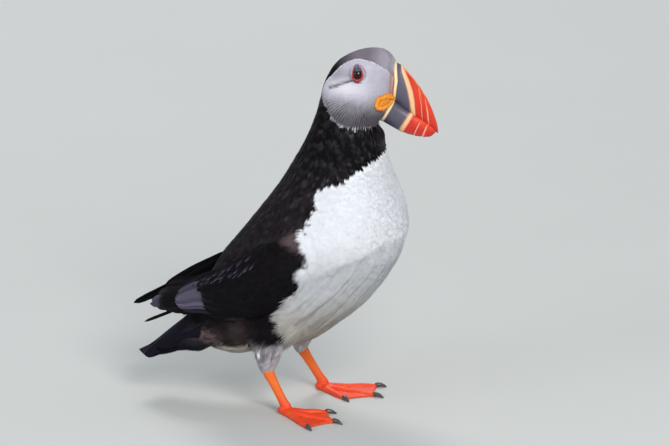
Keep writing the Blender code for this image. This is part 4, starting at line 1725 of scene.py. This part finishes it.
UPPER_BILL = (
    # culmen, mouth edge, half width
    ((51.5, 211.5), (49, 196), 6.0),
    ((59.0, 213.2), (56, 191), 7.0),
    ((66.2, 206.8), (63, 184.8), 6.3),
    ((73.1, 197.5), (70, 180.2), 5.1),
    ((78.4, 187.9), (75.5, 177.0), 3.8),
    ((81.8, 178.8), (80, 173.6), 2.3),
    ((83.1, 173.6), (81.9, 171.2), 1.1),
    ((83.3, 170.6), (82.7, 170.2), 0.3),
)
LOWER_BILL = (
    ((48, 197), (42, 184), 6.0),
    ((55, 193), (49, 178), 6.8),
    ((62, 188), (57, 173), 6.0),
    ((69.5, 183), (65, 169.6), 5.0),
    ((75.5, 179), (72.5, 168.0), 3.8),
    ((80, 175), (78.3, 168.0), 2.3),
    ((81.6, 172.6), (81.2, 170.2), 1.2),
    ((82.0, 171.9), (82.0, 171.3), 0.3),
)

# Lines across the bill's side where one plate ends and the next begins, each as
# (ahead, up) from the top edge of the bill to the bottom.
UPPER_PLATES = (
    ((56.0, 216), (57.0, 203.7), (56.0, 192.9), (54, 186)),
    ((56.5, 216), (57.6, 203.7), (56.4, 192.9), (54.5, 186)),
    ((58.6, 214), (59.5, 203.8), (57.9, 191.8), (55.5, 185)),
    ((61.2, 211), (63.7, 203.3), (65.5, 197.5), (66.8, 191), (67.4, 184)),
    ((62.4, 211), (66.0, 203.5), (68.3, 197.2), (69.4, 191), (69.9, 183)),
    ((69.5, 205), (71.9, 196), (73.3, 189), (73.9, 180)),
    ((74.0, 198), (75.6, 190), (76.8, 184), (77.7, 176)),
    ((84.5, 190), (84.5, 165)),
)
LOWER_PLATES = (
    ((58.6, 197), (53.6, 188), (47.0, 177), (44, 172)),
    ((59.0, 197), (54.2, 188), (47.6, 177), (44.6, 172)),
    ((61.0, 197), (56.4, 188), (50.2, 177), (47, 171)),
    ((70.6, 192), (66.8, 183.5), (61.0, 174.5), (58, 169)),
    ((72.8, 192), (69.0, 183.0), (63.4, 173.5), (60, 167)),
    ((77.0, 188), (73.6, 180.5), (69.6, 171.5), (68, 166)),
    ((80.0, 184), (77.4, 178.0), (74.4, 170.5), (73, 166)),
    ((84.5, 190), (84.5, 160)),
)


HORN_RINGS, HORN_AROUND = 150, 112
HORNS = (
    # node, stations, plates, how much fuller the lower edge is than the upper
    ("bill_upper", UPPER_BILL, UPPER_PLATES, 0.28),
    ("bill_lower", LOWER_BILL, LOWER_PLATES, -0.15),
)


def plate_number(ahead, up, plates):
    """Which plate a point of the bill is in, counted evenly between the lines."""
    lines = np.array([line_ahead(line, up) for line in plates])
    number = np.zeros(len(ahead))
    for rear, front in zip(lines, lines[1:]):
        number += np.clip((ahead - rear) / np.maximum(front - rear, 1e-6), 0, 1)
    return number, lines


def arch(ahead, rear, front):
    """0 at the rear and front line, 1 half way between them."""
    share = np.clip((ahead - rear) / np.maximum(front - rear, 1e-6), 0, 1)
    return np.sin(math.pi * share)


def bill_relief(ahead, up, plates):
    """How far the horn stands out from an even wedge, in millimetres, and its plate."""
    number, lines = plate_number(ahead, up, plates)
    relief = 0.55 * arch(ahead, lines[0], lines[2]) ** 0.7  # the cream ridge
    relief += 0.40 * arch(ahead, lines[3], lines[4]) ** 0.7  # the peach ridge
    relief -= 0.22 * arch(ahead, lines[2], lines[3])  # the slate plate between them
    for groove in (lines[5], lines[6]):
        relief -= 0.42 * bell(ahead - groove, 0.5)
        relief += 0.20 * bell(ahead - groove - 1.1, 0.7)
    return relief, number


def horn_mesh(name, stations, plates, fullness):
    """A wedge of horn through its stations; fullness moves its widest place down."""
    rows = through([(*top, *edge, half) for top, edge, half in stations], HORN_RINGS)
    top, edge, half = rows[:, :2], rows[:, 2:4], rows[:, 4]
    angle = np.linspace(0, 2 * math.pi, HORN_AROUND, endpoint=False)
    cosine, sine = np.cos(angle), np.sin(angle)
    middle, high = (top + edge) / 2, (top - edge) / 2
    place = middle[:, None] + high[:, None] * cosine[None, :, None]
    width = half[:, None] * sine * (1 - fullness * cosine)
    ahead, up = place[..., 0].ravel(), place[..., 1].ravel()
    relief, number = bill_relief(ahead, up, plates)
    relief = relief.reshape(width.shape)
    keel = np.maximum(cosine, 0) ** 8 * 0.12
    width = width + np.sign(sine) * relief * np.abs(sine) ** 0.6
    ridge = (relief * 0.8 + keel) * np.sign(cosine) * np.abs(cosine) ** 2
    place = place + high[:, None] / np.linalg.norm(high, axis=1)[:, None, None] * ridge[..., None]
    points = np.stack([place[..., 0], width, place[..., 1]], axis=-1)
    flat = points.reshape(-1, 3)
    mesh = rings_to_mesh(name, from_head(flat).reshape(points.shape))
    write_attribute(mesh, "plate", "FLOAT", number)
    write_attribute(mesh, "crest", "FLOAT", np.tile(cosine, HORN_RINGS))
    write_attribute(mesh, "grain", "FLOAT_VECTOR", flat)
    return mesh


@once("materials", "bill horn")
def bill_finish(name):
    """The plates' colours between seams darkened as painted shade, with pale lines at the grooves
    and dark lines of painted shade just behind them, a pale culmen that is partly painted
    highlight, and a painted highlight over the upper red plates.
    """
    net = Finish(name)
    bare = settings().bare
    plate = net.attribute("plate")
    crest = net.attribute("crest")
    grain = net.attribute("grain", "Vector")
    cloud = net.noise(grain, 0.55, 3.0)
    fine = net.noise(net.vector("MULTIPLY", grain, (2.6, 1.0, 0.5)), 1.4, 4.0, 0.6)
    plate = plate + (fine - 0.5) * 0.05
    rear = (0.62, 0.13, 0.06)
    stops = [
        (0.0, (0.30, 0.10, 0.06)), (0.06, rear), (0.135, rear), (0.15, bare.cream),
        (0.27, bare.cream), (0.292, bare.slate), (0.415, bare.slate), (0.435, bare.peach),
        (0.565, bare.peach), (0.585, bare.red), (0.90, bare.red), (1.0, bare.tip),
    ]  # fmt: skip
    horn = net.bands(plate / (len(UPPER_PLATES) - 1.0), stops)
    dark_slate = net.ramp(crest, 0.3, -1.0) * net.ramp(plate, 1.9, 2.1) * (plate < 2.95)
    horn = net.blend(dark_slate * 0.45, horn, (0.05, 0.05, 0.085))
    # painted shade in the seams between the plates
    for line, share in ((1.0, 0.4), (2.0, 0.55), (3.0, 0.5), (4.0, 0.45)):
        seam = net.notch(plate, line, 0.02, 0.11)
        horn = net.blend(seam * share, horn, net.scaled(horn, 0.35))
    below = net.ramp(crest, 0.85, 0.25)
    for line in (5.0, 6.0):
        # painted shade just behind each groove
        behind = net.notch(plate, line - 0.10, 0.02, 0.12)
        horn = net.blend(behind * 0.55, horn, (0.50, 0.018, 0.012))
        groove = net.notch(plate, line + 0.03, 0.03, 0.09)
        horn = net.blend(groove * below * 0.7, horn, (0.96, 0.52, 0.40))
    # the pale culmen line: partly its own colour, partly painted highlight
    culmen = net.ramp(crest, 0.93, 0.985) * net.ramp(plate, 2.9, 3.3)
    horn = net.blend(culmen * 0.8, horn, (0.94, 0.46, 0.25))
    # painted highlight over the upper red plates
    painted_highlight = net.ramp(plate, 4.0, 4.9) * net.ramp(crest, -0.2, 0.9)
    horn = net.blend(painted_highlight * 0.4, horn, (0.92, 0.12, 0.02))
    shade = 0.80 + cloud * 0.20 + fine * 0.18
    return net.shade(
        Specular_IOR_Level=0.35,
        Coat_Roughness=0.25,
        Base_Color=net.scaled(horn, shade),
        Roughness=0.30 + fine * 0.18,
        Coat_Weight=0.25,
        Normal=net.bump(fine, 0.4, 0.00018),
    )


# ---------------------------------------------------------------- eyes and gape

EYE_RING = (
    (33.3, 209.6), (33.6, 208.0), (34.7, 206.8), (36.2, 206.3), (37.7, 206.8), (38.8, 208.1),
    (39.0, 209.9), (38.7, 211.9), (37.8, 213.7), (36.6, 215.4), (35.7, 216.1), (34.8, 215.2),
    (33.9, 213.5), (33.4, 211.6),
)  # fmt: skip
EYE_RING_RADII = (0.52, 0.62, 0.84, 0.98, 0.88, 0.62, 0.46, 0.4, 0.32, 0.26, 0.24, 0.26, 0.32, 0.42)
UPPER_EYE_PLATE = (
    (33.9, 212.1), (36.1, 211.8), (38.3, 212.1), (37.6, 213.5),
    (36.6, 214.9), (35.7, 215.8), (34.8, 214.7), (34.0, 213.4),
)  # fmt: skip
LOWER_EYE_PLATE = (
    (32.8, 206.2), (34.4, 205.3), (36.2, 205.0), (38.2, 205.1), (40.0, 205.4),
    (40.0, 204.5), (38.2, 204.1), (36.0, 204.0), (34.0, 204.4), (32.5, 205.4),
)  # fmt: skip
GAPE_RING = (
    (47.1, 191.1), (47.6, 193.7), (49.5, 195.4), (52.1, 196.1), (54.5, 195.3),
    (55.7, 193.3), (54.5, 191.0), (52.4, 189.5), (50.0, 188.9), (48.0, 189.5),
)  # fmt: skip
GAPE_RADII = (1.4, 1.5, 1.6, 1.6, 1.5, 1.3, 1.3, 1.4, 1.4, 1.4)
# dark colours painted in the hollows of the skin's folds as shade; the second eye plate colour is
# one too
EYE_RING_FOLD_SHADE = (0.16, 0.008, 0.01)
EYE_PLATE_COLOURS = (0.065, 0.075, 0.12), (0.03, 0.034, 0.06)
ROSETTE_FOLD_SHADE = (0.62, 0.13, 0.01)
IRIS_RADIUS = 3.0
LOOP_RINGS, LOOP_AROUND, PLEATS = 96, 18, 23
PAD_SINK = 0.5  # how far the rim of a pad lies under the skin, in millimetres


def face_surface():
    """A tree of the skin, for laying bare skin on the head."""
    mesh = bpy.data.objects["skin"].data
    points = [v.co for v in mesh.vertices]
    return BVHTree.FromPolygons(points, [tuple(p.vertices) for p in mesh.polygons])


def on_head_surface(tree, ahead, up, sign, lift):
    """The place on the side of the head at (ahead, up), raised by lift."""
    start = Vector(from_head((ahead, sign * 60, up)))
    hit, normal, _, _ = tree.ray_cast(start, HEAD_LEFT * -sign)
    normal = normal if normal.dot(HEAD_LEFT) * sign > 0 else -normal
    return hit + normal * lift * MM


def eye_mesh(side):
    """The eyeball, with a clear bulge over the iris."""
    low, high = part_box(f"eye_{side}")
    centre, radius = (low + high) / 2, (high.z - low.z) / 2
    up = Vector((0, 0, 1))
    gaze = (HEAD_LEFT * SIGNS[side] + HEAD_AHEAD * 0.10 + up * 0.04).normalized()
    side_axis = gaze.cross(up).normalized()
    up_axis = side_axis.cross(gaze)
    rings = []
    for polar in np.linspace(0.02, math.pi - 0.02, 40):
        distance = radius * math.sin(polar)
        reach = radius * math.cos(polar)
        if reach > 0:
            reach += 0.28 * MM * math.exp(-((distance / (2.3 * MM)) ** 2))
        ring = []
        for around in np.linspace(0, 2 * math.pi, 56, endpoint=False):
            offset = side_axis * math.cos(around) + up_axis * math.sin(around)
            ring.append(centre + gaze * reach + offset * distance)
        rings.append(ring)
    mesh = rings_to_mesh(f"eyeball_{side}", np.array(rings))
    gaze = np.array(gaze)
    places = (read_points(mesh) - np.array(centre)) / MM
    ahead = places @ gaze
    distance = np.linalg.norm(places - np.outer(ahead, gaze), axis=1)
    distance[ahead < 0] = 3 * IRIS_RADIUS  # the back of the ball has no iris
    write_attribute(mesh, "iris", "FLOAT", distance)
    return mesh


@once("materials", "eye")
def eye_finish(name):
    """A black pupil in a dark brown iris, by the distance from the line of sight."""
    net = Finish(name)
    pupil = (0.002, 0.002, 0.003)
    stops = [
        (0.0, pupil), (0.46, pupil), (0.52, (0.014, 0.006, 0.005)),
        (0.70, (0.022, 0.009, 0.007)), (0.80, (0.006, 0.003, 0.003)), (1.0, (0.004, 0.002, 0.002)),
    ]  # fmt: skip
    return net.shade(
        Roughness=0.06,
        Coat_Roughness=0.02,
        Specular_IOR_Level=0.25,
        Base_Color=net.bands(net.attribute("iris") / IRIS_RADIUS, stops),
        Coat_Weight=0.15,
    )


def fleshy_loop(name, centre_line, radii, sign, tree, lift, wrinkles):
    """A soft ring of skin that follows a closed line on the side of the head."""
    line = through([*centre_line, centre_line[0]], LOOP_RINGS + 1)[:-1]
    radius = through([(r,) for r in (*radii, radii[0])], LOOP_RINGS + 1)[:-1, 0]
    places = np.array([on_head_surface(tree, x, z, sign, lift) for x, z in line])
    places = (np.roll(places, 1, 0) + places * 2 + np.roll(places, -1, 0)) / 4
    ahead = np.roll(places, -1, 0) - np.roll(places, 1, 0)
    ahead /= np.linalg.norm(ahead, axis=1, keepdims=True)
    out = rows_of(HEAD_LEFT, LOOP_RINGS) * sign
    out -= ahead * (out * ahead).sum(1, keepdims=True)
    out /= np.linalg.norm(out, axis=1, keepdims=True)
    across = np.cross(ahead, out)
    turn = np.linspace(0, 2 * math.pi, LOOP_AROUND, endpoint=False)
    pleat = np.sin(np.arange(LOOP_RINGS) * 2 * math.pi * PLEATS / LOOP_RINGS)[:, None]
    pleat = 1 + wrinkles * pleat * (0.6 + 0.4 * np.cos(turn))
    size = radius[:, None] * MM * pleat
    rings = places[:, None] + across[:, None] * (np.sin(turn) * size)[..., None]
    rings = rings + out[:, None] * (np.cos(turn) * size)[..., None]
    faces = ring_faces(LOOP_RINGS, LOOP_AROUND, closed=True)
    return outward(mesh_from(name, rings.reshape(-1, 3), faces))


def skin_pad(name, outline, height, sign, tree):
    """A low dome of bare skin over a closed outline on the side of the head."""
    rim = through([*outline, outline[0]], 49)[:-1]
    centre = rim.mean(axis=0)
    rings = []
    for share in (1.0, 0.97, 0.85, 0.65, 0.4, 0.15):
        lift = {1.0: -PAD_SINK, 0.97: height * 0.2}.get(share, height * math.sqrt(1 - share**2))
        ring = [on_head_surface(tree, *(centre + (p - centre) * share), sign, lift) for p in rim]
        rings.append(ring)
    return rings_to_mesh(name, np.array(rings))


def merged(name, meshes, material):
    """One object of several meshes."""
    whole = joined_mesh(meshes)
    whole.name = name
    whole.shade_smooth()
    return show(name, whole, material)


def flesh_finish(name, colour, dark, roughness=0.42, pattern=900.0):
    """Moist bare skin with small folds, darker in their hollows as painted shade."""
    net = Finish(name)
    folds = net.noise(net.object_place(), pattern, 3.0, 0.6)
    return net.shade(
        Subsurface_Weight=0.08,
        Subsurface_Scale=MM,
        # painted shade: darker in the hollows of the folds
        Base_Color=net.blend(net.ramp(folds, 0.62, 0.30), colour, dark),
        Roughness=roughness + (folds - 0.5) * 0.2,
        Normal=net.bump(folds, 0.5, 0.0002),
    )


# ---------------------------------------------------------------- legs

TOES = ("inner", "middle", "outer")
TOE_JOINT_HEIGHT = 2.4 * MM
WEB_TOP = 1.7  # millimetres over the floor; higher up are the toes


def shank_axis(side):
    """The middle of the shank's lower and upper end."""
    points = read_points(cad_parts[f"shank_{side}"].data)
    low, high = points[:, 2].min(), points[:, 2].max()
    bottom = points[points[:, 2] < low + 0.8 * MM].mean(axis=0)
    top = points[points[:, 2] > high - 2.5 * MM].mean(axis=0)
    return Vector(bottom), Vector(top)


def shank_mesh(side):
    """The bare lower leg, from inside the foot up into the thigh's feathers."""
    bottom, top = shank_axis(side)
    axis = (top - bottom).normalized()
    deep = (Vector((1, 0, 0)) - axis * axis.x).normalized()
    wide = axis.cross(deep)
    length = (top - bottom).length / MM
    rows = (
        # up the shank, half depth, half width
        (-2.2, 3.1, 2.6), (0, 3.3, 2.7), (2.5, 2.9, 2.4), (6, 2.7, 2.15), (11, 2.75, 2.15),
        (length - 4, 3.0, 2.3), (length, 3.4, 2.7), (length + 4, 3.1, 2.6), (length + 8, 2.4, 2.2),
    )  # fmt: skip
    turn = np.linspace(0, 2 * math.pi, 40, endpoint=False)
    rings = []
    for place, depth, width in through(rows, 60):
        middle = bottom + axis * place * MM
        offsets = [deep * math.cos(t) * depth + wide * math.sin(t) * width for t in turn]
        rings.append([middle + offset * MM for offset in offsets])
    return rings_to_mesh("shank", np.array(rings))


def toe_ends(side):
    """Where the three toes meet, and where each claw begins."""
    bottom, top = shank_axis(side)
    axis = (bottom - top).normalized()
    joint = bottom + axis * ((bottom.z - TOE_JOINT_HEIGHT) / -axis.z)
    return joint, [sum(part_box(f"claw_{side}_{toe}"), Vector()) / 2 for toe in TOES]


def web_mesh(side):
    """The web between the toes, its front edge nearly straight from claw to claw."""
    joint, ends = toe_ends(side)
    middle = np.array(joint)[:2]
    tips = [np.array(end)[:2] for end in ends]
    if side == "left":
        tips = tips[::-1]
    rim = []
    for first, second in zip(tips, tips[1:]):
        for share in np.linspace(0, 1, 13):
            place = first + (second - first) * share
            toe = middle + (place - middle) * 0.94
            rim.append(toe + (middle - toe) * 0.04 * math.sin(math.pi * share))
    outline = [middle + (rim[0] - middle) * 0.12, *rim, middle + (rim[-1] - middle) * 0.12]
    rings = [[(*place, height * MM) for place in outline] for height in (0.05, 1.25)]
    return rings_to_mesh("web", np.array(rings))


def between_scutes(place, pitch, width):
    """1 in the grooves between scutes that follow each other along a line."""
    return np.exp(-(((place / pitch % 1) - 0.5) ** 2) / width)


def scaled_relief(points, side):
    """The scutes of shank and toes, and the folds of the web, in millimetres."""
    pitch = settings().sizes.scute_length / MM
    bottom, top = shank_axis(side)
    axis = np.array((top - bottom).normalized())
    offset = (points - np.array(bottom)) / MM
    along = offset @ axis
    radial = offset - np.outer(along, axis)
    angle = np.arctan2(radial[:, 1], radial[:, 0])
    height = points[:, 2] / MM
    on_shank = smooth(0.5, 2.0, along) * (height > 5.6)
    front = fade(1.15, 1.6, np.abs(angle))
    groove = -0.16 * between_scutes(along, pitch, 0.012)
    netted = 0.09 * np.cos(along * 2 * math.pi / 1.25) * np.cos(angle * 9)
    relief = on_shank * (groove * front + netted * (1 - front))
    joint, ends = toe_ends(side)
    flat = (points[:, :2] - np.array(joint)[:2]) / MM
    for end in ends:
        ray = np.array(end - joint)[:2]
        ray /= np.linalg.norm(ray)
        step = flat @ ray
        off = np.abs(flat[:, 0] * ray[1] - flat[:, 1] * ray[0])
        on_toe = fade(1.5, 2.3, off) * (height > WEB_TOP) * smooth(1, 3, step)
        relief += on_toe * (0.05 - 0.15 * between_scutes(step, pitch, 0.014))
    bearing = np.arctan2(flat[:, 1], flat[:, 0])
    reach = np.hypot(flat[:, 0], flat[:, 1])
    web = (height > 0.7) * (height < WEB_TOP) * smooth(6, 14, reach)
    folds = 0.22 * ripple(bearing * 34 + 0.1 * reach, 31) + 0.06 * ripple(reach * 3, 8)
    return relief + web * folds


def leg_mesh(side):
    """Shank and foot in one scaly skin."""
    foot = swollen_copies([f"foot_{side}"], 0.0)
    joined = joined_mesh([foot, shank_mesh(side), web_mesh(side)])
    mesh = redrawn(joined, settings().sizes.foot_grain)
    relax(mesh, 3)
    points = read_points(mesh)
    relief = scaled_relief(points, side)
    points = points + read_normals(mesh) * relief[:, None] * MM
    points[:, 2] = np.maximum(points[:, 2], 0)
    write_points(mesh, points)
    write_attribute(mesh, "relief", "FLOAT", relief)
    mesh.shade_smooth()
    return mesh


@once("materials", "orange scaly skin")
def leg_finish(name):
    """Redder feet and more orange shanks, darker between the scutes as painted shade."""
    net = Finish(name)
    bare = settings().bare
    place = net.object_place()
    relief = net.attribute("relief")
    height = net.split(place)[2]
    cloud = net.noise(place, 180.0, 3.0)
    fine = net.noise(place, 1500.0, 3.0, 0.65)
    values = {"Vector": place, "Scale": 1500.0}
    cells = net.add("ShaderNodeTexVoronoi", values, feature="DISTANCE_TO_EDGE")[0]
    colour = net.blend(net.ramp(height, 0.004, 0.014), bare.foot, bare.shank)
    colour = net.blend(net.ramp(cloud, 0.45, 0.75) * 0.35, colour, (0.95, 0.22, 0.03))
    # painted shade in the grooves between the scutes
    colour = net.blend(net.ramp(relief, 0.02, -0.14) * 0.4, colour, (0.42, 0.03, 0.008))
    return net.shade(
        Subsurface_Weight=0.05,
        Subsurface_Scale=MM,
        Base_Color=net.scaled(colour, 0.88 + fine * 0.2),
        Roughness=0.42 + fine * 0.16,
        Normal=net.bump(net.ramp(cells, 0.0, 0.10) * 0.6 + fine * 0.4, 0.4, 0.00012),
    )


@once("materials", "claw horn")
def claw_finish(name):
    net = Finish(name)
    fine = net.noise(net.object_place(), 1200.0, 3.0)
    return net.shade(
        Specular_IOR_Level=0.5,
        Base_Color=net.blend(fine, settings().bare.claw, (0.11, 0.085, 0.08)),
        Roughness=0.30 + fine * 0.15,
    )


# ---------------------------------------------------------------- operators


class PUFFIN_OT_skin(bpy.types.Operator):
    """Draw one skin round head, neck, trunk, tail, wings and thighs"""

    bl_idname = "puffin.skin"
    bl_label = "Skin"

    def execute(self, context):
        skin = show("skin", make_skin(), plumage_finish())
        dress(skin, "black_feathers", *FLESH)
        return {"FINISHED"}


class PUFFIN_OT_coat(bpy.types.Operator):
    """Grow the small feathers of every region of the skin"""

    bl_idname = "puffin.coat"
    bl_label = "Coat"

    def execute(self, context):
        for coat in COATS:
            pale = coat.region.startswith(PALE_COATS)
            dress(grow_coat(coat), "grey_face_feathers" if pale else "black_feathers")
        return {"FINISHED"}


class PUFFIN_OT_quills(bpy.types.Operator):
    """Lay the flight feathers of the wings and the tail"""

    bl_idname = "puffin.quills"
    bl_label = "Flight feathers"

    def execute(self, context):
        for side in SIDES:
            wing = grow_quills(f"wing_quills_{side}", WingFeathers(side).quills)
            dress(wing, "black_feathers")
        tail = grow_quills("tail_quills", tail_coverts() + tail_feathers())
        dress(tail, "black_feathers")
        return {"FINISHED"}


class PUFFIN_OT_bill(bpy.types.Operator):
    """Shape the plates, ridges and grooves of the bill"""

    bl_idname = "puffin.bill"
    bl_label = "Bill"

    def execute(self, context):
        for node, *shape in HORNS:
            mesh = horn_mesh(node + "_horn", *shape)
            dress(show(mesh.name, mesh, bill_finish()), "red_bill_horn", node)
        return {"FINISHED"}


class PUFFIN_OT_eyes(bpy.types.Operator):
    """Set the eyes, their red rings and the small horny plates"""

    bl_idname = "puffin.eyes"
    bl_label = "Eyes"

    def execute(self, context):
        tree = face_surface()
        ring_skin = flesh_finish("eye ring skin", settings().bare.eye_ring, EYE_RING_FOLD_SHADE)
        plate_skin = flesh_finish("eye plate skin", *EYE_PLATE_COLOURS, 0.5)
        for side, sign in SIGNS.items():
            ball = show(f"eyeball_{side}", eye_mesh(side), eye_finish())
            dress(ball, "dark_eye", f"eye_{side}")
            ring = fleshy_loop("ring", EYE_RING, EYE_RING_RADII, sign, tree, 0.10, 0.06)
            dress(merged(f"eye_ring_{side}", [ring], ring_skin), "yellow_gape_skin")
            pads = [
                skin_pad("upper", UPPER_EYE_PLATE, 0.7, sign, tree),
                skin_pad("lower", LOWER_EYE_PLATE, 0.8, sign, tree),
            ]
            dress(merged(f"eye_plates_{side}", pads, plate_skin), "dark_claw_horn")
        return {"FINISHED"}


class PUFFIN_OT_gape(bpy.types.Operator):
    """Fold the wrinkled rosettes at the corners of the mouth"""

    bl_idname = "puffin.gape"
    bl_label = "Gape rosettes"

    def execute(self, context):
        tree = face_surface()
        colour = settings().bare.rosette
        skin = flesh_finish("rosette skin", colour, ROSETTE_FOLD_SHADE, 0.38, 1100.0)
        for side, sign in SIGNS.items():
            ring = fleshy_loop("ring", GAPE_RING, GAPE_RADII, sign, tree, 0.8, 0.22)
            pad = skin_pad("pad", GAPE_RING, 1.7, sign, tree)
            rosette = merged(f"rosette_{side}", [ring, pad], skin)
            dress(rosette, "yellow_gape_skin", f"gape_rosette_{side}")
        return {"FINISHED"}


class PUFFIN_OT_legs(bpy.types.Operator):
    """Cover shanks and webbed feet with scaly skin, and set the claws"""

    bl_idname = "puffin.legs"
    bl_label = "Legs"

    def execute(self, context):
        for side in SIDES:
            leg = show(f"leg_skin_{side}", leg_mesh(side), leg_finish())
            dress(leg, "orange_scaly_skin", f"shank_{side}", f"foot_{side}")
            nodes = [f"claw_{side}_{toe}" for toe in TOES]
            claws = redrawn(swollen_copies(nodes, 0.2 * MM), 0.22 * MM)
            relax(claws, 3)
            claws.shade_smooth()
            dress(show(f"claws_{side}", claws, claw_finish()), "dark_claw_horn", *nodes)
        return {"FINISHED"}


class PUFFIN_OT_studio(bpy.types.Operator):
    """Set the pale floor, the soft lights and the camera"""

    bl_idname = "puffin.studio"
    bl_label = "Studio"

    def execute(self, context):
        make_floor()
        make_lights()
        make_camera()
        return {"FINISHED"}


# ---------------------------------------------------------------- studio

CAMERA_AZIMUTH, CAMERA_ELEVATION = math.radians(12), math.radians(16)
CAMERA_DISTANCE = 6.03
SENSOR_WIDTH = 36.0  # millimetres
FOCUS_DISTANCE = 6.0  # where the frame is as wide as FRAME_WIDTH
FRAME_WIDTH = 0.4014  # what the camera takes in across the body
FRAME_MIDDLE = (20.7, 107.4)  # across and up in the camera's own plane


FLOOR_RADIUS = 14.0
FLOOR_SHADES = (0.54, 0.555, 0.54), (0.57, 0.585, 0.57)
AIR_COLOUR, AIR_STRENGTH = (0.88, 0.93, 1.0), 0.47
LIT_PLACE = Vector((0, 0, 0.11))  # what every lamp points at
LAMPS = (
    # place, size, power, colour
    ("key", (1.0, -1.75, 1.45), 1.1, 43.0, (1.0, 0.975, 0.94)),
    ("fill", (-1.5, -1.5, 0.8), 1.2, 10.5, (0.90, 0.94, 1.0)),
    ("back", (-0.6, 1.5, 1.7), 0.8, 20.0, (1.0, 1.0, 1.0)),
)


def make_floor():
    """A pale floor, much wider than what is seen of it."""
    net = Finish("pale floor")
    grain = net.noise(net.object_place(), 6.0, 3.0)
    colour = net.blend(grain, *FLOOR_SHADES)
    material = net.shade(Roughness=0.8, Specular_IOR_Level=0.1, Base_Color=colour)
    bm = bmesh.new()
    bmesh.ops.create_circle(bm, cap_ends=True, segments=96, radius=FLOOR_RADIUS)
    show("floor", mesh_of(bm, "floor"), material)


def make_lights():
    """A soft key from ahead, a cool fill and a light from behind, in even air."""
    world = bpy.data.worlds.new("studio air")
    world.use_nodes = True
    background = world.node_tree.nodes["Background"]
    background.inputs["Color"].default_value = rgba(AIR_COLOUR)
    background.inputs["Strength"].default_value = AIR_STRENGTH
    bpy.context.scene.world = world
    for name, place, size, power, colour in LAMPS:
        lamp = bpy.data.lights.new(name, "AREA")
        lamp.shape = "DISK"
        lamp.size, lamp.energy, lamp.color = size, power, colour
        made = show(name, lamp)
        made.location = place
        made.rotation_euler = (Vector(place) - LIT_PLACE).to_track_quat("Z", "Y").to_euler()


def make_camera():
    """A long lens that looks down a little, from ahead of the bird's right side."""
    cosine, sine = math.cos(CAMERA_AZIMUTH), math.sin(CAMERA_AZIMUTH)
    level, rise = math.cos(CAMERA_ELEVATION), math.sin(CAMERA_ELEVATION)
    back = Vector((sine * level, -cosine * level, rise))
    across = Vector((cosine, sine, 0))
    up = back.cross(across)
    aim = BODY_ORIGIN + (across * FRAME_MIDDLE[0] + up * FRAME_MIDDLE[1]) * MM
    lens = bpy.data.cameras.new("camera")
    lens.sensor_width = SENSOR_WIDTH
    lens.lens = SENSOR_WIDTH * FOCUS_DISTANCE / FRAME_WIDTH
    lens.clip_start, lens.clip_end = 0.1, 60.0
    camera = show("camera", lens)
    camera.location = aim + back * CAMERA_DISTANCE
    camera.rotation_euler = back.to_track_quat("Z", "Y").to_euler()
    scene = bpy.context.scene
    scene.camera = camera
    scene.view_settings.view_transform = "Standard"


class PUFFIN_PT_panel(bpy.types.Panel):
    """The puffin's pieces and settings"""

    bl_idname = "PUFFIN_PT_panel"
    bl_label = "Puffin"
    bl_space_type = "VIEW_3D"
    bl_region_type = "UI"
    bl_category = "Puffin"

    def draw(self, context):
        for operator in OPERATORS:
            self.layout.operator(operator.bl_idname)
        puffin = context.scene.puffin
        for group in (puffin.sizes, puffin.plumage, puffin.bare):
            box = self.layout.box()
            for name in group.__annotations__:
                box.prop(group, name)


OPERATORS = (
    PUFFIN_OT_skin,
    PUFFIN_OT_coat,
    PUFFIN_OT_quills,
    PUFFIN_OT_bill,
    PUFFIN_OT_eyes,
    PUFFIN_OT_gape,
    PUFFIN_OT_legs,
    PUFFIN_OT_studio,
)
CLASSES = (PuffinPlumage, PuffinBare, PuffinSizes, PuffinSettings, *OPERATORS, PUFFIN_PT_panel)


def register():
    for cls in CLASSES:
        bpy.utils.register_class(cls)
    bpy.types.Scene.puffin = PointerProperty(type=PuffinSettings)


def unregister():
    del bpy.types.Scene.puffin
    for cls in reversed(CLASSES):
        bpy.utils.unregister_class(cls)


def main():
    register()
    bpy.ops.puffin.skin()
    bpy.ops.puffin.coat()
    bpy.ops.puffin.quills()
    bpy.ops.puffin.bill()
    bpy.ops.puffin.eyes()
    bpy.ops.puffin.gape()
    bpy.ops.puffin.legs()
    bpy.ops.puffin.studio()


if __name__ == "__main__":
    main()
